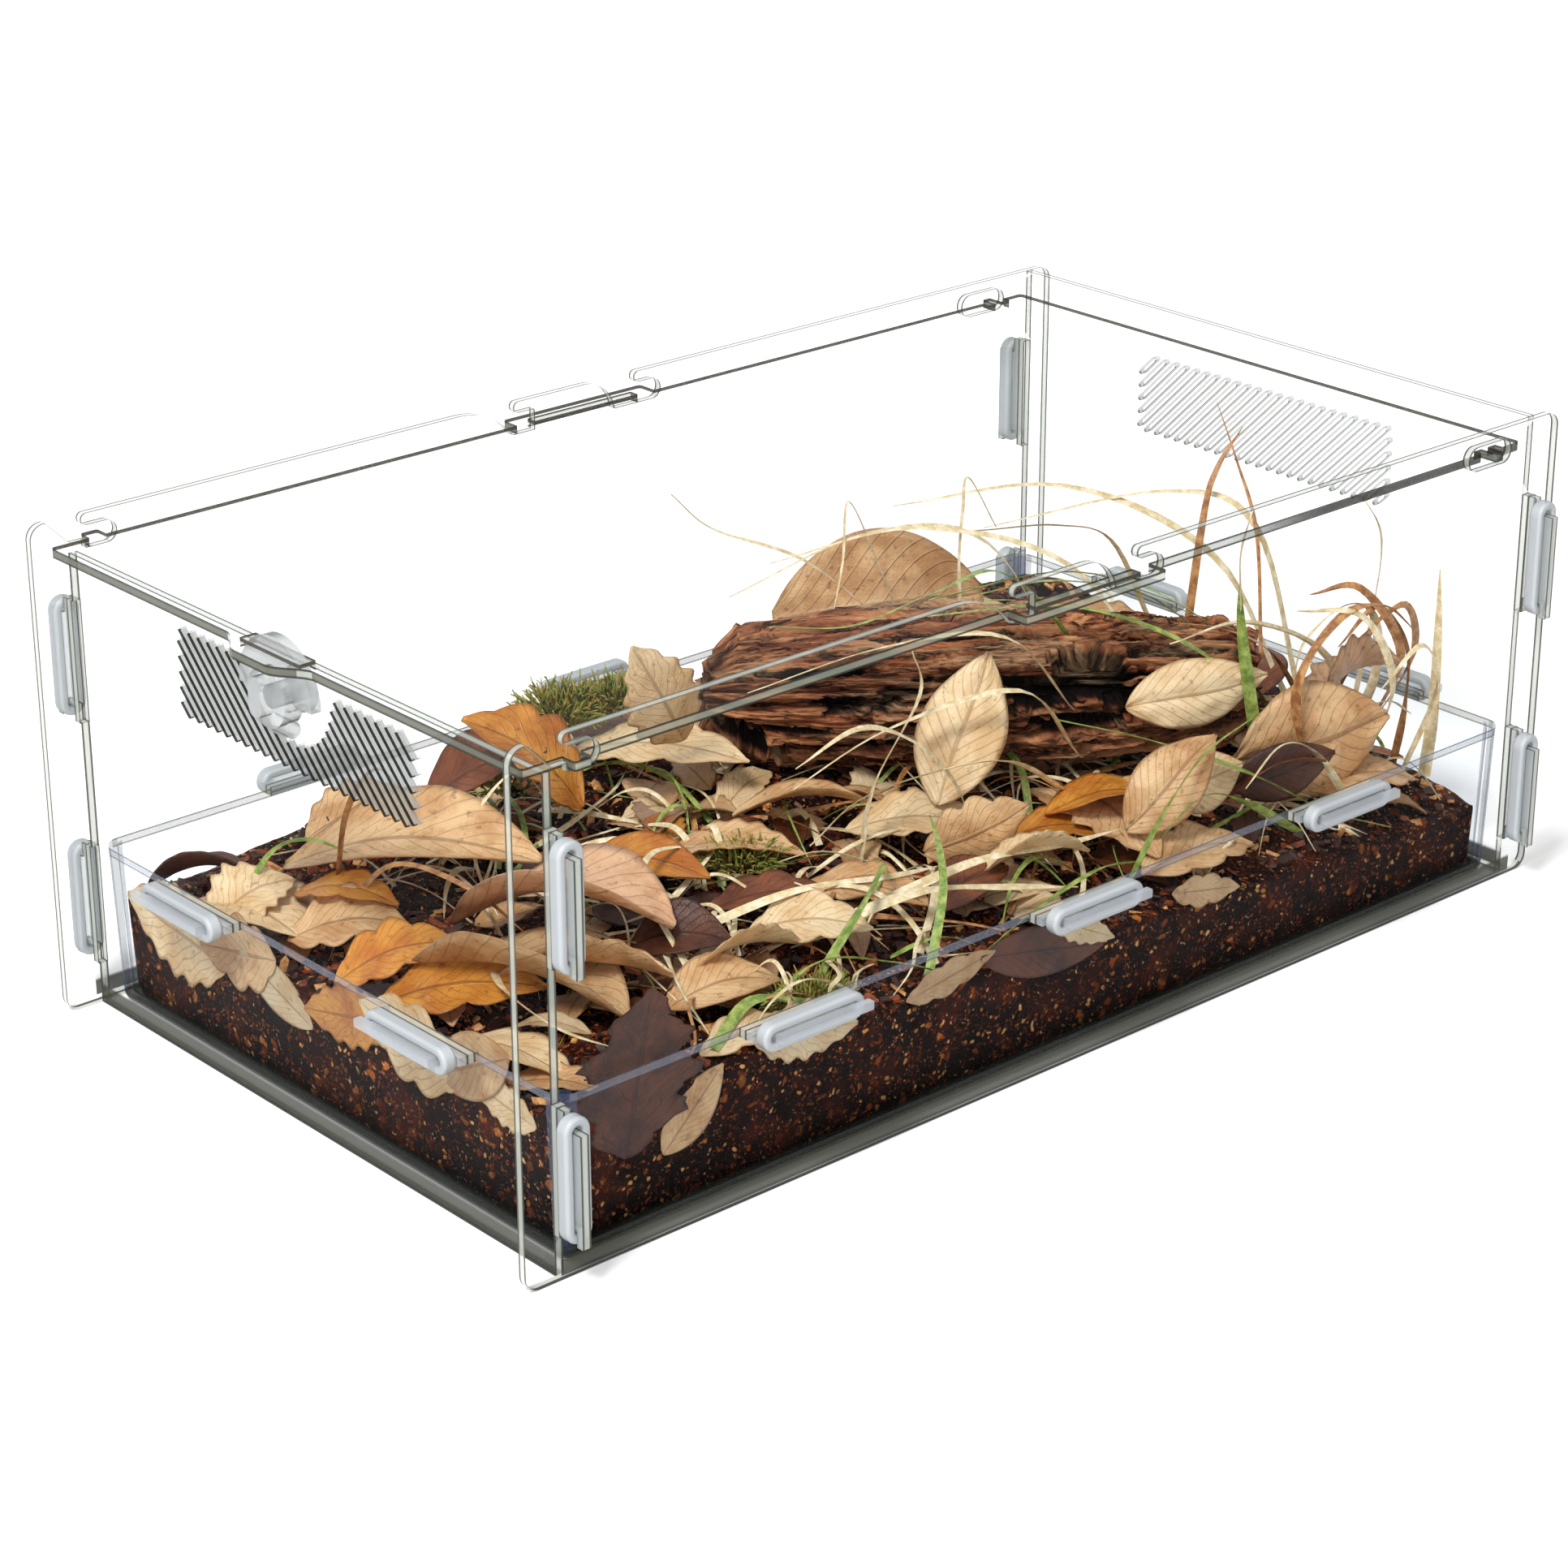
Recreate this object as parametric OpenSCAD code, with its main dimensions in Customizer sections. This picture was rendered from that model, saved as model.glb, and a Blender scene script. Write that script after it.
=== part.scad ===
// Reptile terrarium: a flat-pack box of clear acrylic sheets with a moulded base tray.
// Tabs on the short panels and on the tray pass through slots in the walls, and a
// silicone band round each tab locks it. The lid tilts on two pegs at the hinge end
// and a turning lock stands in a slot of the lid at the latch end.
// Frame: X along the long side (latch end at -X), Y across, Z up. The origin is on the
// surface that the box stands on, half way along the long panels.

/* [Box] */
// Length of the front and back panels
panel_l = 356; // [320:1:420]
// Height of the front, back and hinge end panels
panel_h = 133.5; // [125:0.5:160]
// Depth over the outer faces of the front and back panels
box_w = 195; // [180:1:230]
// Thickness of every acrylic sheet
sheet_t = 2.5; // [2:0.1:3]
// How far the long panels reach past the latch end panel
latch_ear = 10.3; // [9:0.1:14]
// How far the long panels reach past the hinge end panel
hinge_ear = 7.6; // [6:0.1:12]
// Corner radius of the panels
corner_r = 4; // [2:0.5:5]
// Gap between a tab and its slot, each side
tab_fit = 0.1; // [0.05:0.05:0.2]

/* [Lid] */
// Drop from the top of the long panels to the top face of the lid
lid_drop = 6.4; // [6:0.1:9]
// Gap between the lid and each long panel
lid_side_gap = 0.3; // [0.2:0.1:0.6]
// How far the lid reaches past the latch end panel
lid_overhang = 5; // [4:0.5:7]
// Gap between the lid's end and the hinge end panel
lid_end_gap = 2.5; // [2:0.1:4]
// Gap under the lid where it rests
lid_seat_gap = 0.1; // [0.05:0.05:0.2]
// Travel that frees the lid from its hooks
unlock_travel = 7; // [6:0.5:8]
// Depth of the bump that holds the lock slot
bump_d = 5.9; // [5:0.1:8]
// Half width of the bump
bump_half = 18; // [17:1:24]
// Gap between the lock disc and the edges of its slot, along the slot
lock_slot_gap = 0.35; // [0.3:0.05:0.6]
// Width of the lock slot
lock_slot_w = 4.6; // [4.2:0.1:5]

/* [Hooks] */
// Thickness of the hook fingers
finger_t = 3.1; // [2.5:0.1:3.5]
// Top width of the latch end ear
ear_w = 4.6; // [3:0.1:6]
// Height of the ledge beside the ear above the bottom of the hook pockets
detent_h = 2; // [1:0.1:2.5]
// Width of the pegs at the latch end
latch_peg_w = 5; // [4:0.5:6]
// Reach of the latch end pegs past the outer face
latch_peg_reach = 1.5; // [1:0.5:3]
// Distance from the panel's end to the middle of the latch end pegs
latch_peg_x = 19; // [18:0.5:22]
// Reach of the loops past the outer face
loop_reach = 3.5; // [3:0.5:5]
// Width of the loops' end walls
loop_wall = 6; // [5:0.5:6.5]
// Length of the slot inside each loop
loop_slot_l = 36.3; // [34:0.5:44]
// Radius of the shoulder beside the middle hook
shoulder_r = 22; // [16:1:26]
// Radius of the middle hook's round side
tab_round_r = 10.4; // [8:0.1:12]

/* [Pivot] */
// Width of the pivot pegs
pivot_peg_w = 2.7; // [2.4:0.1:3]
// Distance from the panel's end to the middle of the pivot pegs
pivot_x = 24.15; // [20:0.1:26]
// Length of the slots for the pivot pegs
pivot_slot_l = 17.2; // [14:0.1:20]
// Room between the peg and the hinge end of its slot
pivot_end_room = 3.5; // [3:0.1:5]
// Room above the peg in its slot
pivot_headroom = 3.3; // [2.5:0.1:3.5]
// Least gap round a turning peg
pivot_gap = 0.25; // [0.15:0.05:0.4]
// Width of the relief notches beside the pegs
relief_w = 3; // [2:0.1:4]
// Depth of the relief notches
relief_d = 2.5; // [1:0.1:3]

/* [Tabs and bands] */
// Length of a tab between its ears
tab_l = 24.7; // [20:0.1:28]
// Length of each ear
ear_l = 4.15; // [3.9:0.05:5]
// Thickness of each ear, outward from the wall
ear_t = 2; // [1.5:0.1:2.5]
// Reach of a tab past the wall
tab_reach = 8; // [7.5:0.1:10]
// Thickness of the silicone in a band
band_t = 2.4; // [1.5:0.1:3]
// Gap between a band and what it touches
band_gap = 0.1; // [0.05:0.05:0.2]
// Distance from the top of the box to the middle of the upper tabs
tab_drop = 38.5; // [37:0.5:44]
// Height of the lower pair of tabs on the end panels
tab_z_low = 27.5; // [20:0.5:30]
// Spacing of the tray tabs along the long walls
tray_pitch_x = 95; // [80:1:110]
// Half spacing of the tray tabs on the short walls
tray_half_y = 47.5; // [40:0.5:55]

/* [Tray] */
// Height of the base tray
tray_h = 44.6; // [43.5:0.1:50]
// Wall thickness of the tray
tray_t = 2.2; // [1.8:0.1:3]
// Gap between the tray's rim and the panels
tray_gap = 0.2; // [0.1:0.05:0.4]
// Inward draft of the tray's walls
tray_draft = 1.4; // [0.8:0.1:1.6]
// Radius of the tray's bottom edges
tray_r = 3.4; // [2.9:0.1:3.5]
// Radius of the tray's corners in plan
tray_plan_r = 5.4; // [5.2:0.1:9]
// Height of the stiffening ribs on the end walls
rib_h = 22; // [12:1:26]
// Width and thickness of a rib
rib_w = 0.8; // [0.6:0.1:1]

/* [Vents] */
// Half width of the field of slots
vent_half = 47.5; // [40:0.5:60]
// Distance from the lid's underside to the field of slots
vent_drop = 5.9; // [5.5:0.1:10]
// Height of the field of slots
vent_field_h = 23.4; // [18:0.1:24]
// Width of a slot
vent_w = 1.5; // [1:0.1:2]
// Spacing of the slots along the field
vent_pitch = 4; // [3.2:0.1:5]
// Radius of the blank place round the lock
vent_clear_r = 17; // [16:0.5:20]

/* [Lock] */
// Radius of the lock disc
disc_r = 14.6; // [13.5:0.1:15]
// Thickness of the lock disc
disc_t = 2.8; // [2.4:0.1:3]
// Distance from the lid's underside down to the lock's axis
lock_drop = 8.8; // [8.8:0.1:10]
// Radius of the lock's hub
hub_r = 7.5; // [6:0.1:8]
// Radius of the lock's spindle
spindle_r = 3; // [2.5:0.1:3.5]
// Running gap round the spindle
spindle_gap = 0.06; // [0.04:0.01:0.1]
// Reach of the thumb lever below the axis
lever_l = 9.8; // [8.5:0.1:11]

/* [Contents] */
// Depth of the bedding at the front, latch end
bed_front_latch = 36; // [20:1:38]
// Depth of the bedding at the front, hinge end
bed_front_hinge = 19; // [16:1:38]
// Depth of the bedding at the back, latch end
bed_back_latch = 29; // [20:1:38]
// Depth of the bedding at the back, hinge end
bed_back_hinge = 40; // [20:1:42]
// Length of the driftwood
log_l = 150; // [120:1:160]
// Mean radius of the driftwood
log_r = 22; // [18:0.5:24]

/* [Hidden] */
$fn = 48;

// Planes of the box
end_x = panel_l / 2;
out_y = box_w / 2;
in_y = out_y - sheet_t;
latch_out_x = -end_x + latch_ear;
latch_in_x = latch_out_x + sheet_t;
hinge_out_x = end_x - hinge_ear;
hinge_in_x = hinge_out_x - sheet_t;

// Levels of the lid, its hooks and the upper tabs
tab_z_high = panel_h - tab_drop;
lid_top = panel_h - lid_drop;
lid_low = lid_top - sheet_t;
pocket_z = lid_low - lid_seat_gap;
ledge_z = pocket_z + detent_h;
finger_low = panel_h - finger_t;
slot_r = (finger_low - pocket_z) / 2;
slot_z = (finger_low + pocket_z) / 2;

// Vents
vent_high = lid_low - vent_drop;
vent_low = vent_high - vent_field_h;

// Lid outline
lid_x0 = latch_out_x - lid_overhang;
lid_x1 = hinge_in_x - lid_end_gap;
lid_y = in_y - lid_side_gap;
pivot_ax = end_x - pivot_x;
pivot_az = lid_low + sheet_t / 2;
peg_ax = -end_x + latch_peg_x;
peg_tip_x = peg_ax + latch_peg_w / 2;
latch_peg_y = out_y + latch_peg_reach;

// Loops and middle hooks, set out from the slot in the loop
hook_gap = 0.4;
tip_gap = 0.2;
neck_x = -19.6;
loop_x0 = neck_x - hook_gap;
loop_x1 = loop_x0 + loop_slot_l;
hook_tip_x = loop_x0 - loop_wall - 0.6;
tab_foot_x = loop_x1 - unlock_travel - hook_gap - 0.6;
far_end_x = loop_x1 + loop_wall + hook_gap + slot_r - sqrt(slot_r * slot_r - pow(slot_z - lid_low, 2));
far_tip_x = loop_x1 + loop_wall - unlock_travel + tip_gap;
shoulder_foot_x = loop_x0 - loop_wall - 1.2;
loop_y = out_y + loop_reach;
loop_slot_y = out_y + 0.3;

// Pivot slot
peg_swing = norm([pivot_peg_w, sheet_t]) / 2;
pivot_slot_low = pivot_az - peg_swing - pivot_gap;
pivot_slot_high = pivot_az + sheet_t / 2 + pivot_headroom;
pivot_slot_r = (pivot_slot_high - pivot_slot_low) / 2;
pivot_slot_x1 = pivot_ax + pivot_peg_w / 2 + pivot_end_room;

// Lock
lock_z = lid_low - lock_drop;
lock_slot_half = sqrt(disc_r * disc_r - lock_drop * lock_drop) + lock_slot_gap;
slot_mid_x = latch_out_x - lock_slot_w / 2 - 0.5;
disc_x0 = slot_mid_x - disc_t / 2;
disc_x1 = slot_mid_x + disc_t / 2;
washer_gap = 0.1;

// Tray
tray_x0 = latch_in_x + tray_gap;
tray_x1 = hinge_in_x - tray_gap;
tray_y = in_y - tray_gap;
tray_tab_z = tray_h - tray_t / 2;

// Bedding, inside the tray's walls
bed_x0 = tray_x0 + tray_draft + tray_t + 0.15;
bed_x1 = tray_x1 - tray_draft - tray_t - 0.15;
bed_y = tray_y - tray_draft - tray_t - 0.15;
foot_in = tray_r - tray_t;

// Length and half width of the bedding that the places of the contents are given for
plan_l = 325.2;
plan_y = 91.05;

clear = [0.86, 0.9, 0.88, 0.35];
tray_tint = [0.74, 0.77, 0.86, 0.45];
milky = [0.88, 0.9, 0.92, 0.8];

// Small helpers

module rounded_rect(x0, y0, x1, y1, r) {
    difference() {
        translate([x0, y0]) square([x1 - x0, y1 - y0]);
        for (corner = [[x0, y0, 0], [x1, y0, 90], [x1, y1, 180], [x0, y1, 270]])
            translate([corner[0], corner[1]]) rotate(corner[2]) difference() {
                translate([-1, -1]) square(r + 1);
                translate([r, r]) circle(r);
            }
    }
}

// A hole with round ends along its length, centred
module stadium(l, w) {
    square([l - w, w], center = true);
    for (s = [-1, 1]) translate([s * (l - w) / 2, 0]) circle(w / 2);
}

// Stands a sketch in the XZ plane on the wall between y0 and y0 + t
module stand_y(y0, t) {
    translate([0, y0 + t, 0]) rotate([90, 0, 0]) linear_extrude(t) children();
}

// Stands a sketch drawn in Y and Z on the wall between x0 and x0 + t
module stand_x(x0, t) {
    translate([x0, 0, 0]) rotate([90, 0, 90]) linear_extrude(t) children();
}

// Tabs and bands

// Outline of one tab: u along the wall, v outward, v = 0 on the wall's outer face
module tab_outline() {
    half = tab_l / 2;
    polygon([[-half - ear_l, -sheet_t - 1], [half + ear_l, -sheet_t - 1], [half + ear_l, 0], [half, 0],
        [half, tab_reach - ear_t], [half + ear_l, tab_reach - ear_t], [half + ear_l, tab_reach],
        [-half, tab_reach], [-half, ear_t], [-half - ear_l, ear_t]]);
}

// The slot that a tab of thickness t passes through
module tab_slot(t) {
    square([tab_l + 2 * ear_l + 2 * tab_fit, t + 2 * tab_fit], center = true);
}

// One band, lying round a tab of thickness t whose length runs along X and whose reach is along Z
module band(t) {
    inner_r = t / 2 + band_gap;
    width = tab_reach - 2 * ear_t - 2 * band_gap;
    low = ear_t + band_gap;
    round_r = 0.9;
    module section() {
        translate([inner_r, low]) rounded_rect(0, 0, band_t, width, round_r);
    }
    for (side = [0, 180]) rotate([0, 0, side]) {
        translate([tab_l / 2, 0, 0]) rotate([0, 0, -90]) rotate_extrude(angle = 180) section();
        translate([-tab_l / 2, 0, 0]) rotate([90, 0, 90]) linear_extrude(tab_l) section();
    }
}

module tray_band(x, y, turn) {
    color(milky) translate([x, y, tray_tab_z]) rotate([0, 0, turn]) rotate([90, 0, 0]) band(tray_t);
}

module panel_band(x, side, z) {
    color(milky) translate([x, side * out_y, z]) rotate([side * -90, 0, 0]) rotate([0, 0, 90]) band(sheet_t);
}

// Panels

// Removes the room beside a hook finger whose round tip points to -X
module finger_gap(tip_x, left, foot) {
    tip_c = tip_x + finger_t / 2;
    difference() {
        union() {
            polygon(concat(left, [[foot, pocket_z], [foot, finger_low], [tip_c, finger_low],
                [tip_c, panel_h + 1]]));
            if (foot != neck_x) translate([foot, slot_z]) circle(slot_r);
        }
        translate([tip_c, panel_h - finger_t / 2]) circle(finger_t / 2);
    }
}

// Front and back panel, seen from the front
module long_outline() {
    ear_x = -end_x + ear_w;
    slope_x = ear_x + panel_h - ledge_z;
    pocket_x = peg_ax - latch_peg_w / 2 - 0.8;
    finger_x = peg_tip_x - unlock_travel + tip_gap;
    shoulder_x = shoulder_foot_x - sqrt(shoulder_r * shoulder_r - pow(shoulder_r - panel_h + pocket_z, 2));
    round_x = tab_foot_x - sqrt(tab_round_r * tab_round_r - pow(tab_round_r - panel_h + pocket_z, 2));
    difference() {
        rounded_rect(-end_x, 0, end_x, panel_h, corner_r);
        finger_gap(finger_x, [[ear_x, panel_h + 1], [ear_x, panel_h], [slope_x, ledge_z],
            [pocket_x, ledge_z], [pocket_x, pocket_z]], peg_tip_x + 0.5);
        difference() {
            finger_gap(hook_tip_x, [[shoulder_x, panel_h + 1], [shoulder_x, pocket_z]], neck_x);
            translate([shoulder_x, panel_h - shoulder_r]) circle(shoulder_r, $fn = 96);
        }
        difference() {
            finger_gap(far_tip_x, [[round_x, panel_h + 1], [round_x, pocket_z]], far_end_x - slot_r);
            translate([round_x, panel_h - tab_round_r]) circle(tab_round_r, $fn = 96);
        }
        translate([pivot_slot_x1 - pivot_slot_l / 2, pivot_slot_low + pivot_slot_r])
            stadium(pivot_slot_l, 2 * pivot_slot_r);
        for (x = [latch_out_x + sheet_t / 2, hinge_out_x - sheet_t / 2], z = [tab_z_low, tab_z_high])
            translate([x, z]) rotate(90) tab_slot(sheet_t);
        for (i = [-1:1]) translate([i * tray_pitch_x, tray_tab_z]) tab_slot(tray_t);
    }
}

module front_panel() {
    color(clear) stand_y(-out_y, sheet_t) long_outline();
}

module back_panel() {
    color(clear) stand_y(in_y, sheet_t) long_outline();
}

// Ends of one slanted slot, kept out of the blank circle when there is one
function vent_spans(c, blank) =
    let (r = vent_w / 2)
    let (from = max(-vent_half + r, vent_low + r - c))
    let (to = min(vent_half - r, vent_high - r - c))
    let (mid = (lock_z + 3 - c) / 2)
    let (gap = pow(vent_clear_r, 2) - pow(lock_z + 3 - c, 2) / 2)
    let (half = (blank && gap > 0) ? sqrt(gap / 2) : 0)
    half == 0 ? [[from, to]] : [[from, min(to, mid - half)], [max(from, mid + half), to]];

module vents(blank) {
    for (k = [ceil((vent_low - vent_half) / vent_pitch):floor((vent_high + vent_half) / vent_pitch)]) {
        c = k * vent_pitch;
        for (span = vent_spans(c, blank)) {
            if (span[1] - span[0] > 1.2)
                translate([(span[0] + span[1]) / 2, (span[0] + span[1]) / 2 + c]) rotate(45)
                    stadium((span[1] - span[0]) * sqrt(2) + vent_w, vent_w);
        }
    }
}

// End panel of height h, with four tabs that reach through the long panels
module end_panel(x0, h, blank) {
    color(clear) difference() {
        union() {
            stand_x(x0, sheet_t) translate([-in_y, 0]) square([2 * in_y, h]);
            for (side = [-1, 1], z = [tab_z_low, tab_z_high])
                stand_x(x0, sheet_t) translate([side * out_y, z]) mirror([side > 0 ? 0 : 1, 0])
                    rotate(-90) tab_outline();
        }
        stand_x(x0 - 1, sheet_t + 2) {
            mirror([blank ? 0 : 1, 0]) vents(blank);
            for (s = [-1, 1]) translate([s * tray_half_y, tray_tab_z]) tab_slot(tray_t);
            if (blank) translate([0, lock_z]) circle(spindle_r + spindle_gap);
        }
    }
}

module latch_end_panel() {
    end_panel(latch_out_x, pocket_z, true);
}

module hinge_end_panel() {
    end_panel(hinge_in_x, panel_h, false);
}

// Tray

// Section of the tray's floor, wall and rim: u outward from a corner's axis, v up
module tray_section() {
    foot = tray_plan_r - tray_draft;
    bend = foot - tray_r;
    slope = tray_draft / (tray_h - tray_r);
    wall_top = foot + slope * (tray_h - tray_t - tray_r);
    difference() {
        union() {
            square([bend, tray_h]);
            translate([bend, tray_r]) circle(tray_r);
            polygon([[0, tray_r], [foot, tray_r], [wall_top, tray_h - tray_t], [wall_top, tray_h],
                [0, tray_h]]);
            translate([0, tray_h - tray_t]) square([tray_plan_r, tray_t]);
        }
        translate([-1, tray_t]) square([bend + 1, tray_h]);
        translate([bend, tray_r]) circle(tray_r - tray_t);
        polygon([[-1, tray_r], [foot - tray_t, tray_r], [wall_top - tray_t, tray_h - tray_t],
            [wall_top - tray_t, tray_h + 1], [-1, tray_h + 1]]);
        translate([-tray_h, -1]) square([tray_h, 2 * tray_h]);
    }
}

module base_tray() {
    run_x = tray_x1 - tray_x0 - 2 * tray_plan_r;
    run_y = 2 * (tray_y - tray_plan_r);
    mid_x = (tray_x0 + tray_x1) / 2;
    rib_depth = tray_draft + 0.3;
    color(tray_tint) {
        translate([mid_x, 0, 0]) {
            translate([-run_x / 2, -run_y / 2, 0]) cube([run_x, run_y, tray_t]);
            for (turn = [0, 180]) rotate([0, 0, turn]) {
                translate([run_x / 2, run_y / 2, 0]) {
                    rotate_extrude(angle = 90) tray_section();
                    rotate([90, 0, 0]) linear_extrude(run_y) tray_section();
                }
                translate([-run_x / 2, run_y / 2, 0]) {
                    rotate([0, 0, 90]) rotate_extrude(angle = 90) tray_section();
                    rotate([90, 0, 90]) linear_extrude(run_x) tray_section();
                }
            }
        }
        for (i = [-1:1], side = [-1, 1])
            translate([i * tray_pitch_x, side * out_y, tray_h - tray_t]) mirror([0, side > 0 ? 0 : 1, 0])
                linear_extrude(tray_t) tab_outline();
        for (s = [-1, 1]) {
            translate([latch_out_x, s * tray_half_y, tray_h - tray_t]) rotate([0, 0, 90])
                linear_extrude(tray_t) tab_outline();
            translate([hinge_out_x, s * tray_half_y, tray_h - tray_t]) rotate([0, 0, -90])
                linear_extrude(tray_t) tab_outline();
        }
        for (i = [0:3], s = [-1, 1]) {
            y = s * (tray_y - 10 - 2.4 * i);
            translate([tray_x0 + 0.3, y, 10]) cube([rib_depth, rib_w, rib_h]);
            translate([tray_x1 - 0.3 - rib_depth, y, 10]) cube([rib_depth, rib_w, rib_h]);
        }
    }
}

// Lid

// Height of the bump along the latch edge
function bump(y) = bump_d * (abs(y) < 6 ? 1 : 0.5 + 0.5 * cos(180 * (abs(y) - 6) / (bump_half - 6)));

// A sheet of the lid's thickness, at the lid's height
module lid_sheet() {
    translate([0, 0, lid_low]) linear_extrude(sheet_t) children();
}

module lid() {
    color(clear) difference() {
        union() {
            lid_sheet() rounded_rect(lid_x0, -lid_y, lid_x1, lid_y, 1);
            lid_sheet() polygon(concat(
                [for (y = [-bump_half:bump_half / 16:bump_half]) [lid_x0 + 0.05 - bump(y), y]],
                [[lid_x0 + 1.5, bump_half], [lid_x0 + 1.5, -bump_half]]));
            for (s = [-1, 1]) {
                lid_sheet() translate([loop_x0 - loop_wall, s > 0 ? lid_y - 3 : -loop_y])
                    rounded_rect(0, 0, loop_slot_l + 2 * loop_wall, loop_y - lid_y + 3, 1);
                lid_sheet() translate([peg_ax - latch_peg_w / 2, s > 0 ? lid_y - 3 : -latch_peg_y])
                    rounded_rect(0, 0, latch_peg_w, latch_peg_y - lid_y + 3, 0.8);
                lid_sheet() translate([pivot_ax - pivot_peg_w / 2, s > 0 ? lid_y - 3 : -out_y])
                    square([pivot_peg_w, out_y - lid_y + 3]);
            }
        }
        translate([0, 0, lid_low - 1]) linear_extrude(sheet_t + 2) {
            for (s = [-1, 1]) {
                translate([loop_x0, s > 0 ? lid_y : -loop_slot_y])
                    square([loop_slot_l, loop_slot_y - lid_y]);
                for (x = [pivot_ax - pivot_peg_w / 2 - relief_w, pivot_ax + pivot_peg_w / 2])
                    translate([x, s > 0 ? lid_y - relief_d : -lid_y - 1]) square([relief_w, relief_d + 1]);
            }
            translate([slot_mid_x, 0]) square([lock_slot_w, 2 * lock_slot_half], center = true);
        }
    }
}

// Lock

// Turns a shape drawn round Z so that its axis lies along X from x0 towards +X
module along_x(x0) {
    translate([x0, 0, lock_z]) rotate([90, 0, 90]) children();
}

module lock_cam() {
    bar_r = lock_slot_w / 2 - 0.3;
    lever_half = 5;
    hub_x0 = disc_x0 - 2.5;
    grip_x0 = hub_x0 - 3.2;
    color(milky) difference() {
        union() {
            along_x(disc_x0) linear_extrude(disc_t) {
                intersection() {
                    circle(disc_r, $fn = 96);
                    translate([-disc_r, -0.5]) square([2 * disc_r, disc_r + 1]);
                }
                circle(hub_r);
                rounded_rect(-lever_half, -lever_l, lever_half, 0, bar_r);
            }
            along_x(hub_x0) cylinder(r = hub_r, h = disc_x0 - hub_x0 + 0.1);
            along_x(grip_x0) linear_extrude(hub_x0 - grip_x0 + 0.1) rounded_rect(-2.6, -4.2, 2.6, 6, 2.4);
            along_x(disc_x1 - 0.1) cylinder(r = spindle_r + 2, h = latch_out_x - washer_gap - disc_x1 + 0.1);
            translate([slot_mid_x, -lever_half, lock_z - lever_l + bar_r]) rotate([-90, 0, 0])
                cylinder(r = bar_r, h = 2 * lever_half);
        }
        along_x(hub_x0 + 1.2) cylinder(r = spindle_r, h = 20);
    }
}

module lock_spindle() {
    head_x0 = disc_x0 - 1.3;
    color(milky) along_x(head_x0) cylinder(r = spindle_r, h = latch_in_x + washer_gap + 1.4 - head_x0);
}

module lock_retainer() {
    color(milky) difference() {
        along_x(latch_in_x + washer_gap) cylinder(r = spindle_r + 3, h = 1.3);
        along_x(latch_in_x - 1) cylinder(r = spindle_r, h = 4);
    }
}

// Contents

// Height of the bedding, blended from its four corners, with a few waves
function bed_z(x, y) =
    let (u = (x - bed_x0) / (bed_x1 - bed_x0))
    let (v = (y + bed_y) / (2 * bed_y))
    let (front = bed_front_latch + (bed_front_hinge - bed_front_latch) * pow(max(0, u), 1.2))
    let (back = bed_back_latch + (bed_back_hinge - bed_back_latch) * u)
    let (share = pow(1 - min(1, max(0, v)), 1.8))
    front * share + back * (1 - share)
        + 1.3 * sin(5.7 * x + 40) * sin(4.3 * y)
        + 0.9 * sin(6.2 * x) * cos(7.4 * y);

// A point at height p[2] above the bedding; its plan place follows the bedding's size
function on_bed(p) =
    let (x = p[0] * (bed_x1 - bed_x0) / plan_l)
    let (y = p[1] * bed_y / plan_y)
    [x, y, bed_z(x, y) + p[2]];

// A closed skin from a grid of points: top rows then bottom rows, n by m each
module slab(top, bottom, n, m) {
    points = concat(top, bottom);
    k = n * m;
    up = [for (i = [0:n - 2], j = [0:m - 2]) let (a = i * m + j)
        each [[a, a + 1, a + m], [a + 1, a + m + 1, a + m]]];
    down = [for (f = up) [f[0] + k, f[2] + k, f[1] + k]];
    rims = concat(
        [for (j = [0:m - 2]) [j + 1, j, k + j, k + j + 1]],
        [for (j = [0:m - 2]) let (a = (n - 1) * m + j) [a, a + 1, k + a + 1, k + a]],
        [for (i = [0:n - 2]) let (a = i * m) [a, a + m, k + a + m, k + a]],
        [for (i = [0:n - 2]) let (a = i * m + m - 1) [a + m, a, k + a, k + a + m]]);
    polyhedron(points, concat(up, down, rims), convexity = 4);
}

module substrate() {
    n = 27;
    m = 17;
    mid_x = (bed_x0 + bed_x1) / 2;
    half_x = (bed_x1 - bed_x0) / 2;
    spread = [for (i = [0:n - 1], j = [0:m - 1]) [2 * i / (n - 1) - 1, 2 * j / (m - 1) - 1]];
    top = [for (p = spread) [mid_x + half_x * p[0], bed_y * p[1]]];
    foot = [for (p = spread) [mid_x + (half_x - foot_in) * p[0], (bed_y - foot_in) * p[1], tray_t + 0.1]];
    color([0.2, 0.11, 0.08]) intersection() {
        slab([for (p = top) [p[0], p[1], bed_z(p[0], p[1])]], foot, n, m);
        linear_extrude(2 * tray_h) rounded_rect(bed_x0, -bed_y, bed_x1, bed_y, tray_plan_r - tray_draft);
    }
}

// Keeps the loose contents clear of the walls
module inside() {
    intersection() {
        children();
        translate([bed_x0, -bed_y, 0]) cube([bed_x1 - bed_x0, 2 * bed_y, lid_low - 3]);
    }
}

// A closed skin round rings of points, each with the same number of sides
module skin(points, rings, sides) {
    walls = [for (i = [0:rings - 2], j = [0:sides - 1])
        let (a = i * sides + j)
        let (b = i * sides + (j + 1) % sides)
        each [[a, b, a + sides], [b, b + sides, a + sides]]];
    first = [for (j = [0:sides - 1]) sides - 1 - j];
    last = [for (j = [0:sides - 1]) (rings - 1) * sides + j];
    polyhedron(points, concat(walls, [first, last]), convexity = 4);
}

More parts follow.
